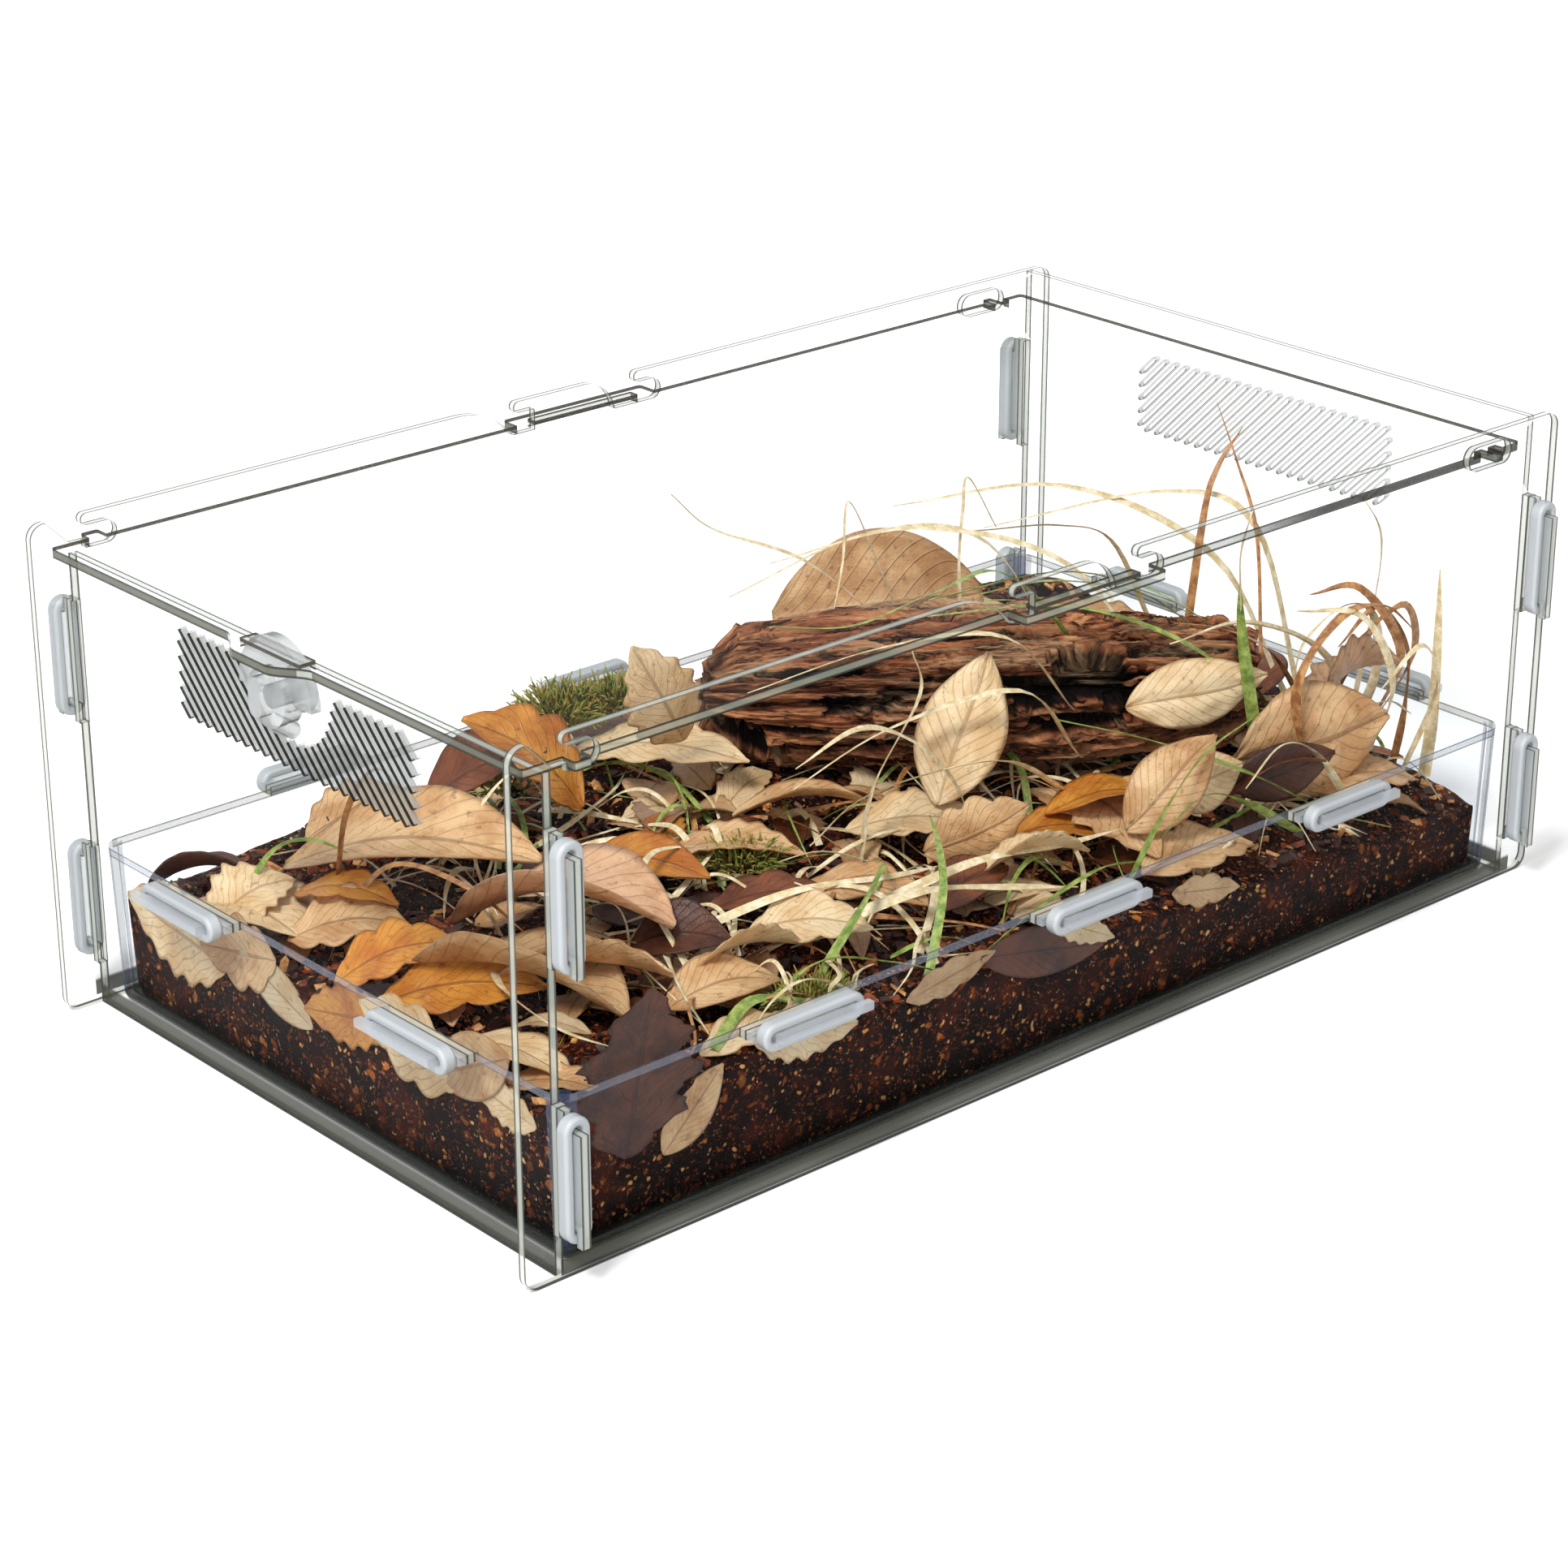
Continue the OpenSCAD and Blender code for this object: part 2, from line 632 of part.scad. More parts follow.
// Radius of the driftwood at a share s of its length and an angle a round it
function log_radius(s, a) =
    log_r * (0.76 + 0.32 * sin(180 * pow(s, 0.8)) + 0.05 * sin(5 * a) + 0.05 * sin(3 * a + 400 * s)
        + 0.03 * sin(9 * a + 60) - 0.16 * max(0, cos(a + 150)));

module driftwood() {
    rings = 25;
    sides = 24;
    start = on_bed([-2.7, 45, 24]);
    axis = [0.787, -0.617, 0];
    side = [-axis[1], axis[0], 0];
    points = [for (i = [0:rings - 1], j = [0:sides - 1])
        let (s = i / (rings - 1))
        let (a = 360 * j / sides)
        let (r = log_radius(s, a))
        start + axis * (log_l * s + 3 * sin(3 * a + 50) * (s < 0.5 ? -1 : 1) * pow(abs(2 * s - 1), 8))
            + side * r * cos(a) + [0, 0, 1] * r * 0.9 * sin(a)];
    color([0.45, 0.28, 0.2]) skin(points, rings, sides);
}

// A dry leaf between two points of its midrib: width w, rolled by turn, bent up by bow, edges up by cup
module leaf(a, b, w, turn, bow, cup) {
    n = 8;
    m = 5;
    t = 0.8;
    along = b - a;
    flat = norm([along[0], along[1]]);
    side0 = flat > 1 ? [-along[1], along[0], 0] / flat : [0, 1, 0];
    up0 = cross(along / norm(along), side0);
    side = side0 * cos(turn) + up0 * sin(turn);
    up = up0 * cos(turn) - side0 * sin(turn);
    grid = [for (i = [0:n - 1], j = [0:m - 1])
        let (s = i / (n - 1))
        let (q = (2 * j / (m - 1) - 1))
        let (half = w / 2 * max(0.06, pow(sin(180 * pow(s, 0.85)), 0.8)))
        a + along * s + side * q * half + up * (bow * sin(180 * s) + cup * q * q * sin(180 * s))];
    slab(grid, [for (p = grid) p - up * t], n, m);
}

// Place and height above the bedding of each leaf's two ends, then width, roll, bow and cup
leaves = [
    [[-155, 46, 6], [-88, -32, 10], 42, 14, 10, 4],
    [[-128, 0, 6], [-112, -78, 8], 46, -8, 6, 3],
    [[-158, -74, -4], [-92, -90, 6], 44, 62, 4, 3],
    [[-160, 24, 4], [-118, 4, 10], 24, 10, 3, 2],
    [[-162, 66, 2], [-140, 30, 12], 40, -14, 4, 5],
    [[-163, 84, 2], [-156, 50, 12], 18, -50, 5, 3],
    [[-146, 74, 2], [-118, 66, 12], 22, 12, 4, 2],
    [[-162, -28, -2], [-138, -50, 6], 24, 24, 4, 2],
    [[-118, 44, 4], [-72, 64, 18], 34, 24, 8, 5],
    [[-92, 20, 2], [-60, 56, 20], 30, -30, 6, 3],
    [[-62, 40, 2], [-20, 34, 14], 26, 16, 4, 2],
    [[-70, 84, 2], [-28, 74, 30], 24, -20, 5, 3],
    [[-38, 58, 2], [-12, 44, 50], 25, 30, 5, 3],
    [[26, -12, 2], [72, 8, 38], 36, 52, 5, 2],
    [[78, -46, 2], [128, -28, 22], 27, 18, 5, 2],
    [[70, -72, 2], [104, -52, 16], 30, 24, 5, 3],
    [[112, -70, 2], [156, -58, 16], 42, 14, 6, 3],
    [[28, -62, 1], [66, -84, 9], 32, 8, 4, 3],
    [[72, -88, 1], [104, -76, 8], 28, 10, 3, 2],
    [[2, -24, 1], [34, -44, 6], 30, -6, 4, 2],
    [[-70, -22, 1], [-34, -66, 6], 34, -10, 4, 2],
    [[-104, -66, 1], [-58, -82, 6], 30, 10, 4, 3],
    [[-26, -50, 1], [6, -84, 6], 30, 8, 4, 2],
    [[-50, -4, 1], [-12, -18, 8], 28, 14, 5, 3],
    [[126, 4, 1], [156, 40, 10], 34, -12, 5, 3],
    [[96, 60, 1], [140, 78, 8], 34, 10, 5, 3]];

// A stalk from the leaf's end down into the bedding keeps it seated
module leaf_on_bed(p) {
    start = on_bed(p[0]);
    leaf(start, on_bed(p[1]), p[2], p[3], p[4], p[5]);
    translate([start[0], start[1], start[2] - max(0, p[0][2]) - 2])
        cylinder(r = 0.8, h = max(0, p[0][2]) + 2, $fn = 8);
}

module leaf_litter() {
    color([0.72, 0.56, 0.36]) inside() for (p = leaves) leaf_on_bed(p);
}

module standing_leaf() {
    color([0.66, 0.5, 0.32]) leaf_on_bed([[45, 70, 21], [96, 40, 25], 42, 62, 6, 6]);
}

// A blade of grass from its root: heading, height, reach and how far its tip droops
module blade(root, heading, high, reach, droop, w) {
    n = 9;
    t = 1;
    dir = [cos(heading), sin(heading), 0];
    across = [-sin(heading), cos(heading), 0];
    line = [for (i = [0:n - 1]) let (s = i / (n - 1))
        root + dir * reach * pow(s, 1.2)
            + [0, 0, 1] * (high * sin(90 * min(1, s * 1.5)) - droop * pow(s, 3))];
    points = [for (i = [0:n - 1])
        let (run = line[min(n - 1, i + 1)] - line[max(0, i - 1)])
        let (normal = cross(run, across) / norm(run))
        let (half = w / 2 * (1 - 0.7 * pow(i / (n - 1), 3)))
        each [line[i] + across * half, line[i] + normal * t / 2, line[i] - across * half,
            line[i] - normal * t / 2]];
    skin(points, n, 4);
}

// Root in plan, heading, height, reach, droop and width of each blade
blades = [
    [[150, -40], 168, 66, 60, 24, 3.4], [[146, -62], 140, 60, 44, 20, 3],
    [[154, -70], 96, 64, 46, 18, 3.2], [[140, -52], 205, 52, 66, 24, 2.8],
    [[156, -20], 200, 66, 78, 36, 3], [[148, 6], 186, 68, 88, 34, 3.4],
    [[120, 0], 160, 70, 20, 0, 4], [[134, 20], 210, 72, 96, 32, 2.8],
    [[112, 34], 192, 70, 92, 24, 2.6], [[100, 66], 190, 68, 84, 30, 2.6],
    [[152, 40], 176, 68, 52, 14, 3], [[158, -48], 128, 70, 12, 0, 3.6],
    [[130, -78], 180, 26, 70, 16, 3], [[96, -78], 150, 22, 56, 12, 2.6],
    [[60, -52], 215, 22, 40, 8, 2.8], [[30, -66], 190, 20, 44, 8, 2.8]];

module grass() {
    color([0.72, 0.66, 0.38]) for (b = blades)
        blade(on_bed([b[0][0], b[0][1], -2]), b[1], b[2], b[3], b[4], b[5]);
}

// Moss mounds: two round ends of each, with their heights above the bedding, and their radii
mounds = [[[-42, 66, 16], 11, [-24, 62, 15], 9], [[-82, -79, 0.3], 7, [-72, -78, 0], 6],
    [[-40, -14, 4], 6, [-46, -10, 4], 5]];

module moss() {
    color([0.42, 0.42, 0.18]) for (m = mounds) hull() {
        translate(on_bed(m[0])) sphere(m[1], $fn = 20);
        translate(on_bed(m[2])) sphere(m[3], $fn = 20);
    }
}

front_panel();
back_panel();
latch_end_panel();
hinge_end_panel();
base_tray();
lid();
lock_cam();
lock_spindle();
lock_retainer();
tray_band(-tray_pitch_x, -out_y, 0);  // band_front_tray_1
tray_band(0, -out_y, 0);  // band_front_tray_2
tray_band(tray_pitch_x, -out_y, 0);  // band_front_tray_3
tray_band(-tray_pitch_x, out_y, 180);  // band_back_tray_1
tray_band(0, out_y, 180);  // band_back_tray_2
tray_band(tray_pitch_x, out_y, 180);  // band_back_tray_3
tray_band(latch_out_x, tray_half_y, -90);  // band_latch_tray_1
tray_band(latch_out_x, -tray_half_y, -90);  // band_latch_tray_2
tray_band(hinge_out_x, tray_half_y, 90);  // band_hinge_tray_1
tray_band(hinge_out_x, -tray_half_y, 90);  // band_hinge_tray_2
panel_band(latch_out_x + sheet_t / 2, -1, tab_z_low);  // band_front_latch_low
panel_band(latch_out_x + sheet_t / 2, -1, tab_z_high);  // band_front_latch_high
panel_band(hinge_out_x - sheet_t / 2, -1, tab_z_low);  // band_front_hinge_low
panel_band(hinge_out_x - sheet_t / 2, -1, tab_z_high);  // band_front_hinge_high
panel_band(latch_out_x + sheet_t / 2, 1, tab_z_low);  // band_back_latch_low
panel_band(latch_out_x + sheet_t / 2, 1, tab_z_high);  // band_back_latch_high
panel_band(hinge_out_x - sheet_t / 2, 1, tab_z_low);  // band_back_hinge_low
panel_band(hinge_out_x - sheet_t / 2, 1, tab_z_high);  // band_back_hinge_high
substrate();
driftwood();
standing_leaf();
leaf_litter();
grass();
moss();
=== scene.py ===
# A clear acrylic reptile terrarium with its furnishings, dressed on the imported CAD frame.
import itertools
import math
import random

import bpy
import numpy as np
from mathutils import Matrix, Vector, noise


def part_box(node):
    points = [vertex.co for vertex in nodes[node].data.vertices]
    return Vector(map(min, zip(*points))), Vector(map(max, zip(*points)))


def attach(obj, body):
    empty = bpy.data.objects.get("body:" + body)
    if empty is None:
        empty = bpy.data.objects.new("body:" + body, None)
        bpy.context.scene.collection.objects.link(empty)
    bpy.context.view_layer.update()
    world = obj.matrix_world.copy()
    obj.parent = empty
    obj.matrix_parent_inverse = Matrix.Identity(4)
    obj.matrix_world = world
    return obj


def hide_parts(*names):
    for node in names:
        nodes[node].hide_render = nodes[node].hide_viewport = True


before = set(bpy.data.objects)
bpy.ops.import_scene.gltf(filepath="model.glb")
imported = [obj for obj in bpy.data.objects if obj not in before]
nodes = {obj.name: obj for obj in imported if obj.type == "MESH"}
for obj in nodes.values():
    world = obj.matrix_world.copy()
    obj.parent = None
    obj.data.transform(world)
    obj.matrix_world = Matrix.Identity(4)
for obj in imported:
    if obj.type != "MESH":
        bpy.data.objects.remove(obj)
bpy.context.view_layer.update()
random.seed(7)
uniform = random.uniform
mm = 0.001
print("frame loaded")


# Small helpers.

def rgb(hexCode):
    parts = [int(hexCode[i:i + 2], 16) / 255 for i in (0, 2, 4)]
    return [p / 12.92 if p <= 0.04045 else ((p + 0.055) / 1.055) ** 2.4 for p in parts] + [1.0]


# Builds the nodes of one material, or of the world. Values may be numbers, colour codes, sockets or nodes.
class Shader:
    def __init__(self, name, owner=None):
        self.material = owner or bpy.data.materials.new(name)
        self.material.use_nodes = True
        self.tree = self.material.node_tree
        self.tree.nodes.clear()
        self.output = self.tree.nodes.new("ShaderNodeOutput" + ("World" if owner else "Material"))

    def add(self, kind, inputs=None, **settings):
        node = self.tree.nodes.new("ShaderNode" + kind)
        for key, value in settings.items():
            setattr(node, key, value)
        for key, value in (inputs or {}).items():
            self.feed(node, key, value)
        return node

    def feed(self, node, key, value):
        socket = node.inputs[key]
        if isinstance(value, bpy.types.NodeSocket):
            self.tree.links.new(value, socket)
        elif isinstance(value, bpy.types.Node):
            self.tree.links.new(value.outputs[0], socket)
        else:
            socket.default_value = rgb(value) if isinstance(value, str) else value

    def math(self, operation, *values):
        return self.add("Math", dict(enumerate(values)), operation=operation).outputs[0]

    # From one value to another by a share between 0 and 1.
    def between(self, share, a, b):
        return self.scaled(share, self.minus(b, a), a)

    def step(self, value, low, high):
        return self.add("MapRange", {"Value": value, "From Min": low, "From Max": high},
                interpolation_type="SMOOTHSTEP").outputs[0]

    def mix(self, share, a, b, blend="MIX"):
        return self.add("Mix", {0: share, 6: a, 7: b}, data_type="RGBA", blend_type=blend).outputs[2]

    def ramp(self, value, stops):
        node = self.add("ValToRGB", {"Fac": value})
        elements = node.color_ramp.elements
        while len(elements) < len(stops):
            elements.new(0.5)
        for element, (place, colour) in zip(elements, stops):
            element.position = place
            element.color = rgb(colour)
        return node.outputs[0]

    def rest(self, value):
        return self.minus(1.0, value)

    def place(self):
        return self.add("TexCoord").outputs["Object"]

    def parts(self, vector):
        return self.add("SeparateXYZ", {0: vector}).outputs

    def vector(self, operation, a, b):
        return self.add("VectorMath", {0: a, 1: b}, operation=operation)

    # A colour made darker or brighter by a tone.
    def toned(self, colour, tone):
        return self.mix(1.0, colour, self.add("CombineColor", {0: tone, 1: tone, 2: tone}), "MULTIPLY")

    def grain(self, place, scale, detail, rough=0.5, distortion=0.0):
        return self.add("TexNoise", {"Vector": place, "Scale": scale, "Detail": detail, "Roughness": rough,
                "Distortion": distortion}).outputs[0]

    def bump(self, height, strength, distance):
        return self.add("Bump", {"Height": height, "Strength": strength, "Distance": distance})

    def body(self, colour, rough, specular=0.5, ior=1.5, **more):
        inputs = {key.replace("_", " ").title(): value for key, value in more.items()}
        inputs.update({"Base Color": colour, "Roughness": rough, "Specular IOR Level": specular, "IOR": ior})
        return self.add("BsdfPrincipled", inputs)

    def clear(self, colour=(1, 1, 1, 1)):
        return self.add("BsdfTransparent", {"Color": colour})

    def attribute(self, name):
        return self.add("Attribute", attribute_name=name).outputs["Fac"]

    def mixShaders(self, share, a, b):
        return self.add("MixShader", {0: share, 1: a, 2: b})

    def finish(self, surface):
        self.feed(self.output, "Surface", surface)
        return self.material


# Short names for the sums used most: scaled is a product and a sum, size is without the sign.
operations = {"times": "MULTIPLY", "scaled": "MULTIPLY_ADD", "minus": "SUBTRACT", "above": "GREATER_THAN",
              "below": "LESS_THAN", "most": "MAXIMUM", "size": "ABSOLUTE"}
for short, operation in operations.items():
    setattr(Shader, short, lambda self, *values, operation=operation: self.math(operation, *values))


# The outward normal's three parts, also where a face is seen from behind.
def outwardNormal(s, place):
    sign = s.scaled(s.add("NewGeometry").outputs["Backfacing"], -2.0, 1.0)
    return [s.times(part, sign) for part in s.parts(place.outputs["Normal"])]


def addObject(name, data):
    obj = bpy.data.objects.new(name, data)
    bpy.context.collection.objects.link(obj)
    return obj


def meshObject(name, vertices, faces, materials, smooth=True):
    mesh = bpy.data.meshes.new(name)
    mesh.from_pydata([tuple(v) for v in vertices], [], [tuple(f) for f in faces])
    mesh.validate()
    mesh.update()
    for material in materials:
        mesh.materials.append(material)
    if smooth:
        mesh.shade_smooth()
    return addObject(name, mesh)


def paint(nodeName, material):
    mesh = nodes[nodeName].data
    mesh.materials.clear()
    mesh.materials.append(material)
    mesh.polygons.foreach_set("material_index", [0] * len(mesh.polygons))


def noiseAt(x, y, z):
    return noise.noise(Vector((x, y, z)))


def smoothStep(x, low, high):
    t = max(0.0, min(1.0, (x - low) / (high - low)))
    return t * t * (3 - 2 * t)


# Clear acrylic.

acrylic = {
    "sheetHalf": 1.25 * mm,
    "tint": (0.994, 0.998, 0.996, 1),
    "rough": 0.03,
    "gloss": (0.0003, 0.08),            # straight on, glancing
    "edgeRough": 0.3,
    "edgeSpecular": 0.1,
    "edgeLight": "D3D8CD",
    "edgeLine": "55564E",
    "edgeShares": (0.62, 0.95),
    "levelLight": "C6CBC2",
    "levelLine": "565850",
    "levelShares": (0.55, 0.95),
    # painted dark contact shade on the sheets' bottom faces, with a light inner part
    "footShade": "24251F",
    "footGap": "E4E6DE",
    "footShare": 0.85,
    "lidLight": "BCC2B0",
    "lidLine": "33332C",
    "lidShares": (0.5, 0.92),
    # painted shade on the lid's front edge, and the span over which it deepens towards the hinge end
    "lidFrontShade": "2B2A24",
    "lidFrontShadeSpan": (0.01, 0.09),
    "slotHalf": 17 * mm,
    "slotFrom": 4 * mm,
    # painted shade on the lid's latch-side edge
    "latchEdgeShade": "6A6B5E",
    "latchShare": 0.93,
    "farLine": "4A443A",
    "farShare": 0.95,
    # painted shade: a dark band on the outer faces just above the floor
    "footBandShade": "37372B",
    "stripLow": 1.2 * mm,
    "stripHigh": 6.0 * mm,
    "stripShare": 0.9,
    "tabColour": "D3D8D9",
    "tabShare": 0.38,
    "ventHalf": 48.5 * mm,
    "ventLow": 94.5 * mm,
    "ventHigh": 119.5 * mm,
    "ventGrey": "A6A9A6",
    "ventStroke": 0.35,
}


# Share of gloss on a clear face: almost none straight on, more at a glancing angle.
def glossShare(s, straight, glancing):
    facing = s.add("LayerWeight", {"Blend": 0.5}).outputs["Facing"]
    return s.scaled(s.math("POWER", facing, 5.0), glancing, straight)


# One sheet: clear on its two large faces, with dark lines along the arrises of its edges.
def sheetMaterial(name, axis, middle, vents=None):
    s = Shader(name)
    place = s.add("TexCoord")
    normal = outwardNormal(s, place)
    point = s.parts(place.outputs["Object"])
    isFace = s.above(s.size(normal[axis]), 0.7)
    half = acrylic["sheetHalf"]
    signed = s.minus(point[axis], middle)
    arris = s.step(s.size(signed), half * 0.4, half * 0.7)
    gloss = s.add("BsdfGlossy", {"Color": (1, 1, 1, 1), "Roughness": acrylic["rough"]})
    face = s.mixShaders(glossShare(s, *acrylic["gloss"]), s.clear(acrylic["tint"]), gloss)
    if axis == 2:
        slotEdge = s.times(s.below(s.size(point[1]), acrylic["slotHalf"]),
                s.above(point[0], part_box("lid")[0][0] + acrylic["slotFrom"]))
        far = s.most(s.above(normal[1], 0.6), s.above(normal[0], 0.6))
        # Painted shade: the lid's latch-side edge, away from the slot, is drawn dark grey and nearly opaque.
        latch = s.times(s.below(normal[0], -0.6), s.rest(slotEdge))
        # Painted shade: the lid's front edge is drawn darker and more opaque towards the hinge end.
        front = s.times(s.below(normal[1], -0.7), s.step(point[0], *acrylic["lidFrontShadeSpan"]))
        light = s.mix(latch, s.mix(front, acrylic["lidLight"], acrylic["lidFrontShade"]), acrylic["latchEdgeShade"])
        colour = s.mix(far, s.mix(arris, light, acrylic["lidLine"]), acrylic["farLine"])
        low, high = acrylic["lidShares"]
        near = s.scaled(arris, high - low, low)
        near = s.most(near, s.times(s.most(front, latch), acrylic["latchShare"]))
        upperLine = s.times(s.step(signed, half * 0.05, half * 0.3), acrylic["farShare"])
        share = s.between(far, near, upperLine)
    else:
        level = s.above(s.size(normal[2]), 0.7)
        # Bottom faces near the floor: a painted dark contact shade on their outer part, light towards the
        # inside.
        foot = s.times(s.below(normal[2], -0.7), s.below(point[2], 2 * mm))
        upright = s.mix(arris, acrylic["edgeLight"], acrylic["edgeLine"])
        flat = s.mix(arris, acrylic["levelLight"], acrylic["levelLine"])
        outer = s.step(s.size(point[axis]), abs(middle) - half * 0.1, abs(middle) + half * 0.2)
        footShade = s.mix(outer, acrylic["footGap"], acrylic["footShade"])
        colour = s.mix(foot, s.mix(level, upright, flat), footShade)
        shares = [s.scaled(arris, acrylic[key][1] - acrylic[key][0], acrylic[key][0])
                  for key in ("edgeShares", "levelShares")]
        share = s.between(foot, s.between(level, *shares), acrylic["footShare"])
    if vents:
        inVents = s.times(s.below(s.size(point[1]), acrylic["ventHalf"]),
                s.times(s.above(point[2], acrylic["ventLow"]), s.below(point[2], acrylic["ventHigh"])))
        upward = s.above(normal[2], 0.1)
        stroke = s.times(upward, s.below(signed, -half * acrylic["ventStroke"]))
        ventColour = s.mix(stroke, acrylic["ventGrey"], vents["stroke"])
        ventShare = s.scaled(upward, vents["fill"] - vents["under"], vents["under"])
        ventShare = s.most(ventShare, s.times(stroke, vents["line"]))
        colour = s.mix(inVents, colour, ventColour)
        share = s.between(inVents, share, ventShare)
    rough, specular = acrylic["edgeRough"], acrylic["edgeSpecular"]
    edge = s.mixShaders(share, s.clear(), s.body(colour, rough, specular, ior=1.49))
    if axis < 2:
        lowX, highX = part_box("latch_end_panel")[0][0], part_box("hinge_end_panel")[1][0]
        between = s.below(s.size(s.minus(point[0], (lowX + highX) / 2)), (highX - lowX) / 2 + 0.1 * mm)
        outerFace = s.above(s.size(point[axis]), abs(middle))
        # Painted shade: a dark band on the outer faces just above the floor, along the foot of the box.
        footBandShade = s.times(s.step(point[2], acrylic["stripLow"] * 0.7, acrylic["stripLow"]),
                s.rest(s.step(point[2], acrylic["stripHigh"] * 0.8, acrylic["stripHigh"])))
        footBandShade = s.times(footBandShade, s.times(between, outerFace))
        shaded = s.body(acrylic["footBandShade"], rough, specular)
        face = s.mixShaders(s.times(footBandShade, acrylic["stripShare"]), face, shaded)
    if axis == 0:
        tab = s.above(s.size(point[1]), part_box("back_panel")[1][1])
        face = s.mixShaders(s.times(tab, acrylic["tabShare"]), face, s.body(acrylic["tabColour"], 0.2))
    return s.finish(s.mixShaders(isFace, edge, face))


def middleOf(nodeName, axis):
    low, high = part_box(nodeName)
    return (low[axis] + high[axis]) / 2


latchVents = {"stroke": "1C1C19", "line": 0.95, "fill": 0.6, "under": 0.22}
hingeVents = {"stroke": "7A7D78", "line": 0.95, "fill": 0.7, "under": 0.6}
for panel, axis, vents in (("front_panel", 1, None), ("back_panel", 1, None),
                           ("latch_end_panel", 0, latchVents), ("hinge_end_panel", 0, hingeVents)):
    paint(panel, sheetMaterial("acrylic_" + panel, axis, middleOf(panel, axis), vents))
paint("lid", sheetMaterial("acrylic_lid", 2, middleOf("lid", 2)))
print("acrylic done")


# Tray, bands and lock.

tray = {
    "rimLow": 42.3 * mm,
    "bendHigh": 5.2 * mm,
    "cornerRadius": 5.4 * mm,
    "tint": (0.975, 0.98, 0.99, 1),
    "gloss": (0.0003, 0.06),
    "rough": 0.25,
    "rim": "8A8D9F",
    "rimLine": "494C5A",
    "farRim": "A9AA9C",
    "farLine": "6F6E5E",
    # the tray's own blue, deepened into a painted shade on its rounded corners
    "corner": "5A6486",
    "cornerShare": 0.42,
    "tab": "CFD4DA",
    "tabShare": 0.45,
    # painted shade along the tray's bottom bend
    "bend": "3A3C34",
    "bendShare": 0.9,
}


def trayMaterial():
    s = Shader("tray_plastic_looks")
    place = s.add("TexCoord")
    point = s.parts(place.outputs["Object"])
    height = point[2]
    low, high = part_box("latch_end_panel")[1][0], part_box("hinge_end_panel")[0][0]
    halfX, halfY = (high - low) / 2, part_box("back_panel")[0][1]
    fromX = s.size(s.minus(point[0], (low + high) / 2))
    fromY = s.size(point[1])
    outside = s.most(s.above(fromX, halfX - 0.6 * mm), s.above(fromY, halfY - 0.6 * mm))
    outward = outwardNormal(s, place)
    steep = s.below(s.size(outward[2]), 0.5)
    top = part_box("base_tray")[1][2]
    rim = s.times(s.times(s.above(height, tray["rimLow"]), steep), outside)
    offset = s.size(s.minus(height, (top + tray["rimLow"]) / 2))
    line = s.step(offset, (top - tray["rimLow"]) * 0.25, (top - tray["rimLow"]) * 0.42)
    # Painted shade: the upright faces at the tray's rounded corners get a dark blue, where the clear wall is
    # seen edge-on.
    corner = s.times(s.above(fromX, halfX - tray["cornerRadius"]),
            s.above(fromY, halfY - tray["cornerRadius"]))
    # Painted shade: the tray's lowest few millimetres, at its bottom bend, are drawn dark and nearly opaque.
    bend = s.rest(s.step(height, tray["bendHigh"] * 0.45, tray["bendHigh"]))
    gloss = s.add("BsdfGlossy", {"Color": (0.93, 0.95, 1, 1), "Roughness": 0.05})
    face = s.mixShaders(glossShare(s, *tray["gloss"]), s.clear(tray["tint"]), gloss)
    blue = s.body(tray["corner"], tray["rough"])
    face = s.mixShaders(s.times(s.times(corner, steep), tray["cornerShare"]), face, blue)
    tab = s.most(s.above(fromX, halfX + 2 * acrylic["sheetHalf"]),
            s.above(fromY, halfY + 2 * acrylic["sheetHalf"]))
    face = s.mixShaders(s.times(tab, tray["tabShare"]), face, s.body(tray["tab"], 0.2))
    rim = s.times(rim, s.rest(tab))
    far = s.most(s.above(outward[0], 0.5), s.above(outward[1], 0.5))
    light, dark = s.mix(far, tray["rim"], tray["farRim"]), s.mix(far, tray["rimLine"], tray["farLine"])
    edge = s.body(s.mix(line, light, dark), tray["rough"])
    dressed = s.mixShaders(s.times(rim, s.scaled(line, 0.45, 0.4)), face, edge)
    return s.finish(s.mixShaders(s.times(bend, tray["bendShare"]), dressed, s.body(tray["bend"], 0.3, 0.1)))


paint("base_tray", trayMaterial())

silicone = {"body": "DADFE3", "shade": "899096", "clear": 0.26, "rough": 0.38}


def siliconeMaterial():
    s = Shader("silicone_looks")
    place = s.add("TexCoord")
    grain = s.grain(place.outputs["Object"], 900.0, 2.0)
    facing = s.add("LayerWeight", {"Blend": 0.35}).outputs["Facing"]
    body = s.body(s.mix(facing, silicone["body"], silicone["shade"]), silicone["rough"],
            normal=s.bump(grain, 0.06, 0.2 * mm), subsurface_weight=0.35, subsurface_scale=3 * mm,
            subsurface_radius=(1.0, 1.0, 1.0))
    return s.finish(s.mixShaders(silicone["clear"], body, s.clear()))


siliconeLook = siliconeMaterial()
for name in nodes:
    if name.startswith("band_"):
        paint(name, siliconeLook)

moulded = {"body": "D3D7D8", "shade": "3A3B37", "clear": 0.6, "rimClear": 0.02, "rough": 0.12}


def mouldedMaterial():
    s = Shader("moulded_looks")
    facing = s.add("LayerWeight", {"Blend": 0.5}).outputs["Facing"]
    rim = s.step(facing, 0.35, 0.8)
    body = s.body(s.mix(rim, moulded["body"], moulded["shade"]), moulded["rough"], ior=1.49)
    share = s.scaled(rim, moulded["rimClear"] - moulded["clear"], moulded["clear"])
    return s.finish(s.mixShaders(share, body, s.clear()))


mouldedLook = mouldedMaterial()
for name in ("lock_cam", "lock_spindle", "lock_retainer"):
    paint(name, mouldedLook)
print("tray, bands and lock done")


# Bedding.

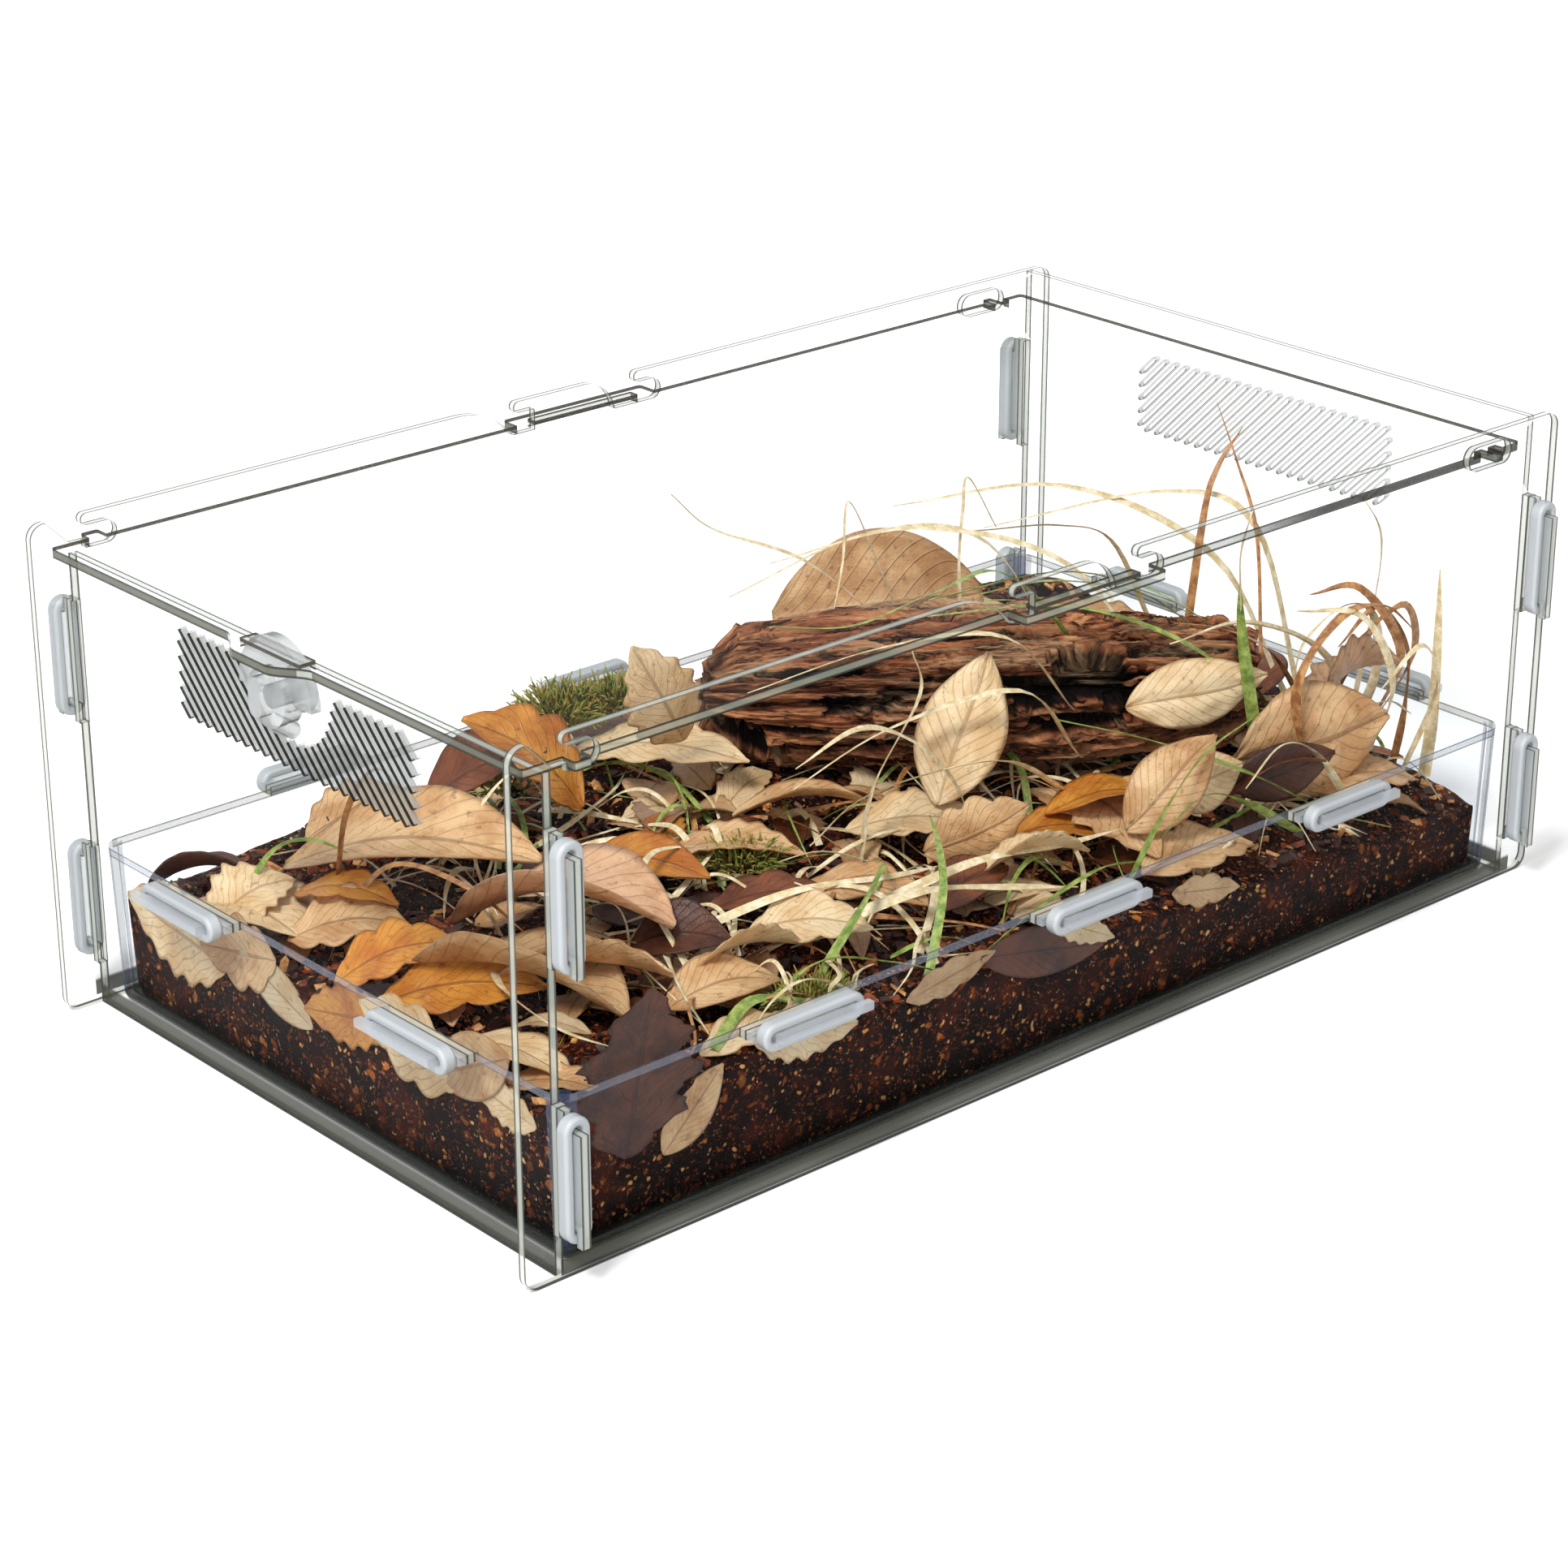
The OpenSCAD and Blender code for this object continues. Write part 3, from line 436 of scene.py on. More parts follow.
bedding = {
    "cornerDepths": (36, 19, 29, 40),   # front latch, front hinge, back latch, back hinge
    "inset": 3.95,                      # from the panels' inner faces at the foot
    "draft": 1.4,
    "cornerRadius": 4.0,
    "foot": 2.2,
    "footRadius": 1.2,
    "clearance": 0.45,
    "step": 1.25,
    "relief": ((22, 1.6), (9, 1.4), (4, 1.2), (1.9, 0.9)),      # size and height of its lumps
    "chips": 4200,
    "chipSizes": (1.0, 1.4, 1.9, 2.6),
    "chipShares": (5, 4, 2),
    "specular": 0.06,
    "soil": [(0.34, "060201"), (0.5, "160806"), (0.62, "3A150B"), (0.76, "6E2E16")],
    # Grains of three sizes: scale, radius, rareness and tones.
    "grains": (
        (260.0, 0.42, 0.62,
         [(0.0, "2C1009"), (0.35, "6A2C14"), (0.6, "9C4A22"), (0.8, "1C0A06"), (1.0, "CC7838")]),
        (520.0, 0.4, 0.55,
         [(0.0, "4A1D0E"), (0.3, "8E4420"), (0.6, "2C1008"), (0.85, "D08A48"), (1.0, "EDB878")]),
        (1100.0, 0.4, 0.6,
         [(0.0, "5E260F"), (0.4, "9C5228"), (0.8, "220C06"), (1.0, "F0BE82")]),
    ),
}
bedX0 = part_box("latch_end_panel")[1][0] / mm + bedding["inset"]
bedX1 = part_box("hinge_end_panel")[0][0] / mm - bedding["inset"]
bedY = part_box("back_panel")[0][1] / mm - bedding["inset"]
bedMiddle, bedHalf = (bedX0 + bedX1) / 2, (bedX1 - bedX0) / 2
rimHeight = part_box("base_tray")[1][2] / mm


# Height of the bedding in millimetres, the same form as the CAD solid has.
def bedHeight(x, y):
    frontLatch, frontHinge, backLatch, backHinge = bedding["cornerDepths"]
    u = max(0.0, min(1.0, (x - bedX0) / (bedX1 - bedX0)))
    v = max(0.0, min(1.0, (y + bedY) / (2 * bedY)))
    front = frontLatch + (frontHinge - frontLatch) * u ** 1.2
    back = backLatch + (backHinge - backLatch) * u
    share = (1 - v) ** 1.8
    a, b, c, d = (math.radians(angle) for angle in (5.7 * x + 40, 4.3 * y, 6.2 * x, 7.4 * y))
    waves = 1.3 * math.sin(a) * math.sin(b) + 0.9 * math.sin(c) * math.cos(d)
    return front * share + back * (1 - share) + waves


def roughness(x, y, scales):
    return sum(amount * noiseAt(x / size, y / size, 3.7 * i) for i, (size, amount) in enumerate(scales))


# How far the tray's wall stands out from the bedding's foot at a height.
def wallOffset(z):
    radius = bedding["footRadius"]
    start = bedding["foot"] + radius
    if z < start:
        return -(radius - math.sqrt(max(0, radius ** 2 - (start - z) ** 2)))
    return bedding["draft"] * (z - start) / (rimHeight - start)


def roundPlan(x, y, grow):
    radius = bedding["cornerRadius"]
    halfX, halfY = bedHalf + grow, bedY + grow
    dx, dy = abs(x - bedMiddle) - (halfX - radius), abs(y) - (halfY - radius)
    if dx > 0 and dy > 0 and math.hypot(dx, dy) > radius:
        pull = radius / math.hypot(dx, dy)
        x = bedMiddle + math.copysign(halfX - radius + dx * pull, x - bedMiddle)
        y = math.copysign(halfY - radius + dy * pull, y)
    return x, y


def beddingMaterial():
    s = Shader("bedding_looks")
    place = s.place()
    warp = s.add("TexNoise", {"Vector": place, "Scale": 120.0, "Detail": 3.0}).outputs["Color"]
    offset = s.vector("SUBTRACT", warp, (0.5, 0.5, 0.5))
    bent = s.add("VectorMath", {0: offset, "Scale": 0.006}, operation="SCALE")
    bentPlace = s.vector("ADD", place, bent)
    large = s.grain(place, 55.0, 6.0, 0.7)
    colour = s.ramp(large, bedding["soil"])
    heights = []
    for scale, radius, limit, tones in bedding["grains"]:
        cells = s.add("TexVoronoi", {"Vector": bentPlace, "Scale": scale, "Randomness": 1.0})
        pick = s.add("SeparateColor", {0: cells.outputs["Color"]}).outputs
        common = s.scaled(large, -0.9, limit + 0.4)
        within = s.rest(s.step(cells.outputs["Distance"], radius * 0.7, radius))
        shown = s.times(s.above(pick[1], common), within)
        colour = s.mix(s.times(shown, 0.85), colour, s.ramp(pick[0], tones))
        heights.append(s.times(shown, s.minus(0.6, cells.outputs["Distance"])))
    fine = s.grain(place, 1500.0, 4.0, 0.7)
    level = s.step(s.parts(place)[2], 4 * mm, 34 * mm)
    colour = s.toned(colour, s.times(s.scaled(fine, 1.5, 0.3), s.scaled(level, 0.6, 0.75)))
    height = s.math("ADD", s.math("ADD", heights[0], heights[1]), s.scaled(fine, 0.5, heights[2]))
    return s.finish(s.body(colour, 0.5, bedding["specular"], normal=s.bump(height, 0.9, 1.2 * mm)))


beddingLook = beddingMaterial()


def makeBedding():
    step = bedding["step"]
    countX, countY = int((bedX1 - bedX0) / step), int(2 * bedY / step)
    vertices, faces = [], []
    for i in range(countX + 1):
        for j in range(countY + 1):
            x, y = bedX0 + (bedX1 - bedX0) * i / countX, -bedY + 2 * bedY * j / countY
            inner = min(1, min(i, countX - i, j, countY - j) / 4)
            z = bedHeight(x, y) + roughness(x, y, bedding["relief"]) * (0.35 + 0.65 * inner)
            grow = wallOffset(z) - bedding["clearance"]
            x = bedX0 - grow + (bedX1 - bedX0 + 2 * grow) * i / countX
            y = 2 * (bedY + grow) * j / countY - bedY - grow
            x, y = roundPlan(x, y, grow)
            vertices.append((x * mm, y * mm, z * mm))
    row = countY + 1
    for i in range(countX):
        for j in range(countY):
            a = i * row + j
            faces.append((a, a + row, a + row + 1, a + 1))
    rimLoop = ([i * row for i in range(countX)] + [countX * row + j for j in range(countY)]
            + [i * row + countY for i in range(countX, 0, -1)] + list(range(countY, 0, -1)))
    layers, low = 10, 2.35
    loops = [rimLoop]
    for layer in range(1, layers + 1):
        loop = []
        for index in rimLoop:
            x, y, top = (c / mm for c in vertices[index])
            z = top + (low - top) * layer / layers
            grow, before = (wallOffset(h) - bedding["clearance"] for h in (z, top))
            scaleX, scaleY = ((half + grow) / (half + before) for half in (bedHalf, bedY))
            loop.append(len(vertices))
            vertices.append(((bedMiddle + (x - bedMiddle) * scaleX) * mm, y * scaleY * mm, z * mm))
        loops.append(loop)
    count = len(rimLoop)
    for upper, lower in zip(loops, loops[1:]):
        for k in range(count):
            m = (k + 1) % count
            faces.append((upper[k], lower[k], lower[m], upper[m]))
    faces.append(tuple(reversed(loops[-1])))
    return meshObject("bedding", vertices, faces, [beddingLook])


bed = makeBedding()
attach(bed, "enclosure")
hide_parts("substrate")


def plainMaterial(name, dark, light, scale, rough=0.6):
    s = Shader(name)
    place = s.place()
    grain = s.grain(place, scale, 5.0, 0.7)
    colour = s.mix(s.step(grain, 0.35, 0.68), dark, light)
    return s.finish(s.body(colour, rough, normal=s.bump(grain, 0.5, 0.4 * mm)))


chipLooks = [plainMaterial("chip_dark", "140704", "42190C", 700.0),
             plainMaterial("chip_red", "5A230F", "A04E24", 700.0),
             plainMaterial("chip_tan", "B06A2F", "EDB878", 700.0)]


# Bark crumbs: bent boxes lying on the bedding.
def makeChips():
    vertices, faces, kinds = [], [], []
    for _ in range(bedding["chips"]):
        x, y = uniform(bedX0 + 2, bedX1 - 2), uniform(-bedY + 2, bedY - 2)
        size = random.choice(bedding["chipSizes"])
        half = Vector((size * uniform(0.6, 1.3), size * uniform(0.3, 0.6), size * uniform(0.15, 0.4)))
        turn = Matrix.Rotation(uniform(0, math.tau), 3, "Z")
        for around in "XY":
            turn = turn @ Matrix.Rotation(uniform(-0.7, 0.7), 3, around)
        z = bedHeight(x, y) + roughness(x, y, bedding["relief"][:3]) + half.z * 0.4
        centre = Vector((x, y, z))
        start = len(vertices)
        for signs in itertools.product((-1, 1), repeat=3):
            corner = Vector([sign * part * uniform(0.6, 1) for sign, part in zip(signs, half)])
            vertices.append((turn @ corner + centre) * mm)
        kind = random.choices((0, 1, 2), bedding["chipShares"])[0]
        for face in ((0, 1, 3, 2), (4, 6, 7, 5), (0, 4, 5, 1), (2, 3, 7, 6), (0, 2, 6, 4), (1, 5, 7, 3)):
            faces.append([start + k for k in face])
            kinds.append(kind)
    chips = meshObject("bark_crumbs", vertices, faces, chipLooks, smooth=False)
    chips.data.polygons.foreach_set("material_index", kinds)
    return chips


crumbs = makeChips()
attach(crumbs, "enclosure")
print("bedding done")


# Driftwood.

log = {
    "start": (-2.7, 45, 57.6),
    "axis": (0.787, -0.617, 0.0),
    "length": 150,
    "radius": 22,
    "heightShare": 0.9,
    "rings": 380,
    "sides": 300,
    "bandTones": [(0.3, "3C1C12"), (0.4, "8A5238"), (0.5, "BC8562"), (0.6, "DDB084"), (0.72, "F2D6AE")],
    "fibreTones": [(0.32, "1E0B06"), (0.44, "86583E"), (0.55, "C69C74"), (0.7, "FAE6C6")],
    "crackTone": "140705",
    # painted shade in the low parts of the surface
    "recessShadeTone": "2E150D",
    # painted shade inside the rotted hollows
    "hollowShadeTone": "110503",
    # painted highlight on the raised ridges
    "ridgeHighlightTone": "D2AC84",
}


def driftwoodMaterial():
    s = Shader("driftwood_looks")
    uv = s.add("UVMap", uv_map="grain")
    stretched = s.add("Mapping", {"Vector": uv, "Scale": (9.0, 150.0, 1.0)})
    wide = s.add("Mapping", {"Vector": uv, "Scale": (5.0, 34.0, 1.0)})
    fibre = s.grain(stretched, 1.6, 10.0, 0.75, 0.5)
    bands = s.grain(wide, 1.2, 7.0, 0.66, 1.1)
    colour = s.ramp(bands, log["bandTones"])
    colour = s.mix(0.55, colour, s.ramp(fibre, log["fibreTones"]), "OVERLAY")
    crackBend = s.add("TexNoise", {"Vector": wide, "Scale": 3.0, "Detail": 3.0}).outputs["Color"]
    shift = s.add("VectorMath", {0: crackBend, "Scale": 1.4}, operation="SCALE")
    crackSpace = s.add("Mapping", {"Vector": uv, "Scale": (4.0, 60.0, 1.0)})
    crackPlace = s.vector("ADD", crackSpace, shift)
    cells = s.add("TexVoronoi", {"Vector": crackPlace, "Scale": 1.0}, feature="DISTANCE_TO_EDGE")
    crack = s.rest(s.step(cells.outputs["Distance"], 0.02, 0.12))
    crack = s.times(crack, s.step(bands, 0.62, 0.42))
    colour = s.mix(s.times(crack, 0.9), colour, log["crackTone"])
    # Painted shade: the low parts of the surface, marked by the depth attribute, are darkened.
    colour = s.mix(s.times(s.step(s.attribute("depth"), 0.5, 1.0), 0.7), colour, log["recessShadeTone"])
    # Painted shade: the rotted hollows, marked by the hollow attribute, are drawn nearly black.
    colour = s.mix(s.step(s.attribute("hollow"), 0.08, 0.4), colour, log["hollowShadeTone"])
    # Painted highlight: on the raised ridges, marked by the pale attribute, the lighter fibres turn pale tan.
    colour = s.mix(s.times(s.attribute("pale"), s.step(fibre, 0.38, 0.62)), colour, log["ridgeHighlightTone"])
    relief = s.minus(fibre, s.times(crack, 1.2))
    return s.finish(s.body(colour, 0.7, 0.15, normal=s.bump(relief, 0.9, 1.6 * mm)))


# Share along the log, angle round it in degrees, half spans and depth of each rotted hollow.
hollows = (
    (0.03, 205, 0.075, 24, 13),
    (0.10, 222, 0.05, 14, 9),
    (0.27, 168, 0.08, 7, 8),
    (0.34, 160, 0.05, 5, 6),
    (0.60, 160, 0.09, 20, 13),
    (0.70, 146, 0.10, 24, 15),
    (0.80, 170, 0.10, 22, 14),
    (0.66, 192, 0.10, 12, 9),
    (0.90, 196, 0.08, 14, 9),
    (0.47, 214, 0.12, 5, 5),
    (0.20, 142, 0.12, 4, 4),
    (0.42, 118, 0.20, 3, 3),
    (0.16, 190, 0.10, 3, 5),
    (0.42, 186, 0.10, 3, 5),
    (0.50, 150, 0.14, 3, 4),
    (0.86, 128, 0.12, 4, 5),
    (0.30, 205, 0.08, 4, 5),
)


def makeDriftwood():
    rings, sides = log["rings"], log["sides"]
    axis = Vector(log["axis"]).normalized()
    side = Vector((-axis.y, axis.x, 0))
    start = Vector(log["start"])
    vertices, marks = [], []
    for i in range(rings):
        s = i / (rings - 1)
        taper = 0.8 + 0.27 * math.sin(math.pi * s ** 0.8)
        close = min(1, 9 * min(s, 1 - s) + 0.55) ** 0.6
        for j in range(sides):
            a = math.tau * j / sides
            ca, sa = math.cos(a), math.sin(a)
            ridge = noiseAt(s * 4, ca * 2.2, sa * 2.2)
            bend = 0.12 * noiseAt(s * 7, ca * 3, sa * 3)
            strata = noiseAt(s * 2.2 + 9, (ca + bend) * 9, (sa + bend) * 9)
            slabs = noiseAt(s * 5 + 3, (ca + bend) * 17, (sa + bend) * 17)
            fibre = noiseAt(s * 11, ca * 36, sa * 36)
            hair = noiseAt(s * 30, ca * 90, sa * 90)
            steps = math.floor(strata * 6) / 6 * 0.75 + strata * 0.25
            crack = smoothStep(0.1 - abs(strata - 0.08), 0.02, 0.1) * smoothStep(ridge, -0.3, 0.2)
            relief = 4.2 * steps + 2.0 * math.floor(slabs * 4) / 4 + 1.1 * fibre + 0.4 * hair - 2.4 * crack
            r = log["radius"] * taper * close * (1 + 0.1 * ridge) + relief
            hollow = 0.0
            for place, angle, spanS, spanA, depth in hollows:
                turn = (math.degrees(a) - angle + 180) % 360 - 180
                wobble = 0.45 * noiseAt(s * 16, ca * 7, sa * 7 + place)
                wobble += 0.3 * noiseAt(s * 45, ca * 20, sa * 20 + place)
                d = math.hypot((s - place) / spanS, turn / spanA) + wobble
                inside = smoothStep(1 - d, 0.0, 0.22)
                r -= depth * inside
                hollow = max(hollow, inside)
            jag = 5 * noiseAt(ca * 7, sa * 7, 4 + 3 * round(s)) * (1 if s > 0.5 else -1)
            jag = (jag + 4 * max(0, sa) * (1 - s)) * abs(2 * s - 1) ** 6
            centre = start + axis * (log["length"] * s + jag)
            vertices.append((centre + side * (r * ca) + Vector((0, 0, log["heightShare"] * r * sa))) * mm)
            # pale marks the raised ridges, where a painted highlight goes.
            pale = smoothStep(0.5 + ridge + 0.6 * steps, 0.55, 1.0)
            # depth, the third mark, rises where the surface lies low and feeds a painted shade.
            marks.append((hollow, pale, max(0.0, min(1.0, 0.5 - relief / 7))))
    faces = []
    for i in range(0, (rings - 1) * sides, sides):
        for j in range(sides):
            k = (j + 1) % sides
            faces.append((i + j, i + k, i + sides + k, i + sides + j))
    for ring in (0, rings - 1):
        middle = sum((vertices[ring * sides + j] for j in range(sides)), Vector()) / sides
        previous = [ring * sides + j for j in range(sides)]
        for share in (0.66, 0.33):
            loop = []
            for j in range(sides):
                point = middle.lerp(vertices[ring * sides + j], share)
                loop.append(len(vertices))
                vertices.append(point + axis * (mm * 2.2 * noise.noise(point * 260) * (1 if ring else -1)))
                # The end faces get fixed marks: painted shade from hollow and depth, and a little painted
                # highlight from pale.
                marks.append((0.25, 0.2, 0.6))
            quads = [(previous[j - 1], previous[j], loop[j], loop[j - 1]) for j in range(sides)]
            faces += quads if ring else [quad[::-1] for quad in quads]
            previous = loop
        # The centre of each end face: painted shade from hollow and depth.
        vertices.append(middle)
        marks.append((0.3, 0.0, 0.7))
        triangles = [(previous[j - 1], previous[j], len(vertices) - 1) for j in range(sides)]
        faces += triangles if ring else [triangle[::-1] for triangle in triangles]
    obj = meshObject("driftwood_log", vertices, faces, [driftwoodMaterial()])
    mesh = obj.data
    for name, values in zip(("hollow", "pale", "depth"), zip(*marks)):
        mesh.attributes.new(name, "FLOAT", "POINT").data.foreach_set("value", values)
    layer = mesh.uv_layers.new(name="grain")
    places = []
    for loop in mesh.loops:
        p = mesh.vertices[loop.vertex_index].co / mm - start
        angle = math.atan2(p.z / log["heightShare"], p.dot(side))
        places += [p.dot(axis) / log["length"], abs(angle) / math.tau]
    layer.data.foreach_set("uv", places)
    return obj


wood = makeDriftwood()
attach(wood, "enclosure")
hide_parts("driftwood")
print("driftwood done")


# Leaves.

leafTones = {
    "pale": ("F8E0B6", "E2BC88", "9A6A3A", 0.5),
    "tan": ("EEC896", "CC9864", "80502A", 0.42),
    "rose": ("DEB48E", "BC8C64", "7A5034", 0.28),
    "orange": ("DD9A3E", "B9691F", "6A3413", 0.36),
    "brown": ("8A4A26", "582812", "2C1206", 0.45),
    "dark": ("5E3018", "36160A", "180805", 0.5),
}


def leafMaterial(name, light, middle, dark, rough):
    s = Shader("leaf_" + name)
    uv = s.add("UVMap", uv_map="leaf")
    along, across, _ = s.parts(uv)
    place = s.place()
    offset = s.size(s.minus(across, 0.5))
    colour = s.mix(s.step(s.grain(place, 75.0, 5.0, 0.65), 0.36, 0.66), light, middle)
    spots = s.grain(place, 420.0, 3.0, 0.6)
    colour = s.mix(s.times(s.step(spots, 0.58, 0.72), 0.55), colour, dark)
    slant = s.scaled(offset, -7.0, s.times(along, 11.0))
    wave = s.size(s.minus(s.math("FRACT", slant), 0.5))
    side = s.rest(s.step(wave, 0.02, 0.09))
    rib = s.rest(s.step(offset, 0.01, 0.035))
    vein = s.most(s.times(side, 0.6), rib)
    colour = s.mix(s.times(vein, 0.5), colour, dark)
    colour = s.mix(s.times(s.step(offset, 0.44, 0.5), 0.45), colour, dark)
    colour = s.toned(colour, s.attribute("tone"))
    cells = s.add("TexVoronoi", {"Vector": place, "Scale": 900.0}, feature="DISTANCE_TO_EDGE")
    height = s.scaled(vein, 0.8, s.times(cells.outputs["Distance"], 0.5))
    body = s.body(colour, rough, normal=s.bump(height, 0.55, 0.6 * mm))
    return s.finish(s.mixShaders(0.18, body, s.add("BsdfTranslucent", {"Color": colour})))


leafLooks = {name: leafMaterial(name, *tones) for name, tones in leafTones.items()}


# Half width of a leaf at a share of its length, for each leaf form.
def leafOutline(form, s, edge):
    base = max(0.03, math.sin(math.pi * min(1, s) ** 0.85)) ** 0.8
    if form == "long":
        return max(0.03, math.sin(math.pi * s ** 0.95)) ** 0.7
    if form == "wavy":
        return base * (1 + 0.1 * math.sin(s * 38 + edge))
    if form == "oak":
        return base * (0.78 + 0.3 * abs(math.sin(s * 11 + edge)) ** 0.8)
    if form == "maple":
        spikes = abs(((s * 4.2 + 0.3 * edge) % 1) - 0.5) * 2
        return base * (0.62 + 0.42 * spikes + 0.06 * math.sin(s * 90))
    return base


# A leaf between the two ends of its midrib, in millimetres.
def makeLeaf(name, look, ends, width, form, roll=0.0, bow=4.0, cup=30.0, twist=0.0, sweep=0.0, tone=1.0,
             thick=0.35, rows=40, columns=14, face=None, crease=1.0):
    a, b = Vector(ends[0]), Vector(ends[1])
    length = (b - a).length
    along = (b - a).normalized()
    if face:
        side0 = along.cross(Vector(face)).normalized()
    elif math.hypot(along.x, along.y) > 0.05:
        side0 = Vector((-along.y, along.x, 0)).normalized()
    else:
        side0 = Vector((0, 1, 0))
    up0 = along.cross(side0) * (1 if face or along.cross(side0).z >= 0 else -1)
    seed = sum(ord(c) for c in name) * 0.37
    top, uvs = [], []
    for i in range(rows + 1):
        s = i / rows
        angle = math.radians(roll + twist * (s - 0.5))
        side = side0 * math.cos(angle) + up0 * math.sin(angle)
        up = up0 * math.cos(angle) - side0 * math.sin(angle)
        arch = math.sin(math.pi * s)
        spine = a + along * (length * s) + up * (bow * arch) + side * (sweep * arch)
        for j in range(columns + 1):
            q = 2 * j / columns - 1
            half = width / 2 * leafOutline(form, s, 0.0 if q < 0 else 1.7)
            theta = math.radians(cup) * (0.5 + 0.5 * s) + 1e-4
            lateral = half * math.sin(q * theta) / math.sin(theta) if abs(theta) < 1.5 else half * q
            lift = math.copysign(half * (1 - math.cos(q * theta)) / max(0.2, abs(math.sin(theta))), cup)
            fold = -0.35 * crease * (1 - min(1, abs(q) * 4))
            wrinkle = 0.9 * crease * noiseAt(s * 7 + seed, q * 3, seed) * min(1, 3 * abs(q) + 0.2)
            top.append(spine + side * lateral + up * (lift + fold + wrinkle * width / 40))
            uvs.append((s, (q + 1) / 2))
    grid = np.array(top).reshape(rows + 1, columns + 1, 3)
    normals = np.cross(np.gradient(grid, axis=0), np.gradient(grid, axis=1))
    normals /= np.maximum(1e-9, np.linalg.norm(normals, axis=2, keepdims=True))
    lower = (grid - normals * thick).reshape(-1, 3)
    points = np.concatenate([grid.reshape(-1, 3), lower]) * mm
    row, total = columns + 1, (rows + 1) * (columns + 1)
    faces = []
    for i in range(rows):
        for j in range(columns):
            k = i * row + j
            faces.append((k, k + row, k + row + 1, k + 1))
            faces.append((total + k, total + k + 1, total + k + row + 1, total + k + row))
    loop = (list(range(columns)) + [i * row + columns for i in range(rows)]
            + [rows * row + j for j in range(columns, 0, -1)] + [i * row for i in range(rows, 0, -1)])
    for k, index in enumerate(loop):
        after = loop[(k + 1) % len(loop)]
        faces.append((index, after, total + after, total + index))
    obj = meshObject(name, points, faces, [leafLooks[look]])
    layer = obj.data.uv_layers.new(name="leaf")
    flat = []
    for corner in obj.data.loops:
        flat += uvs[corner.vertex_index % total]
    layer.data.foreach_set("uv", flat)
    obj.data.attributes.new("tone", "FLOAT", "POINT").data.foreach_set("value", [tone] * (2 * total))
    return obj


viewer, latchWall, frontWall = (0.609, 0.688, -0.393), (1, 0, -0.03), (0, 1, -0.03)
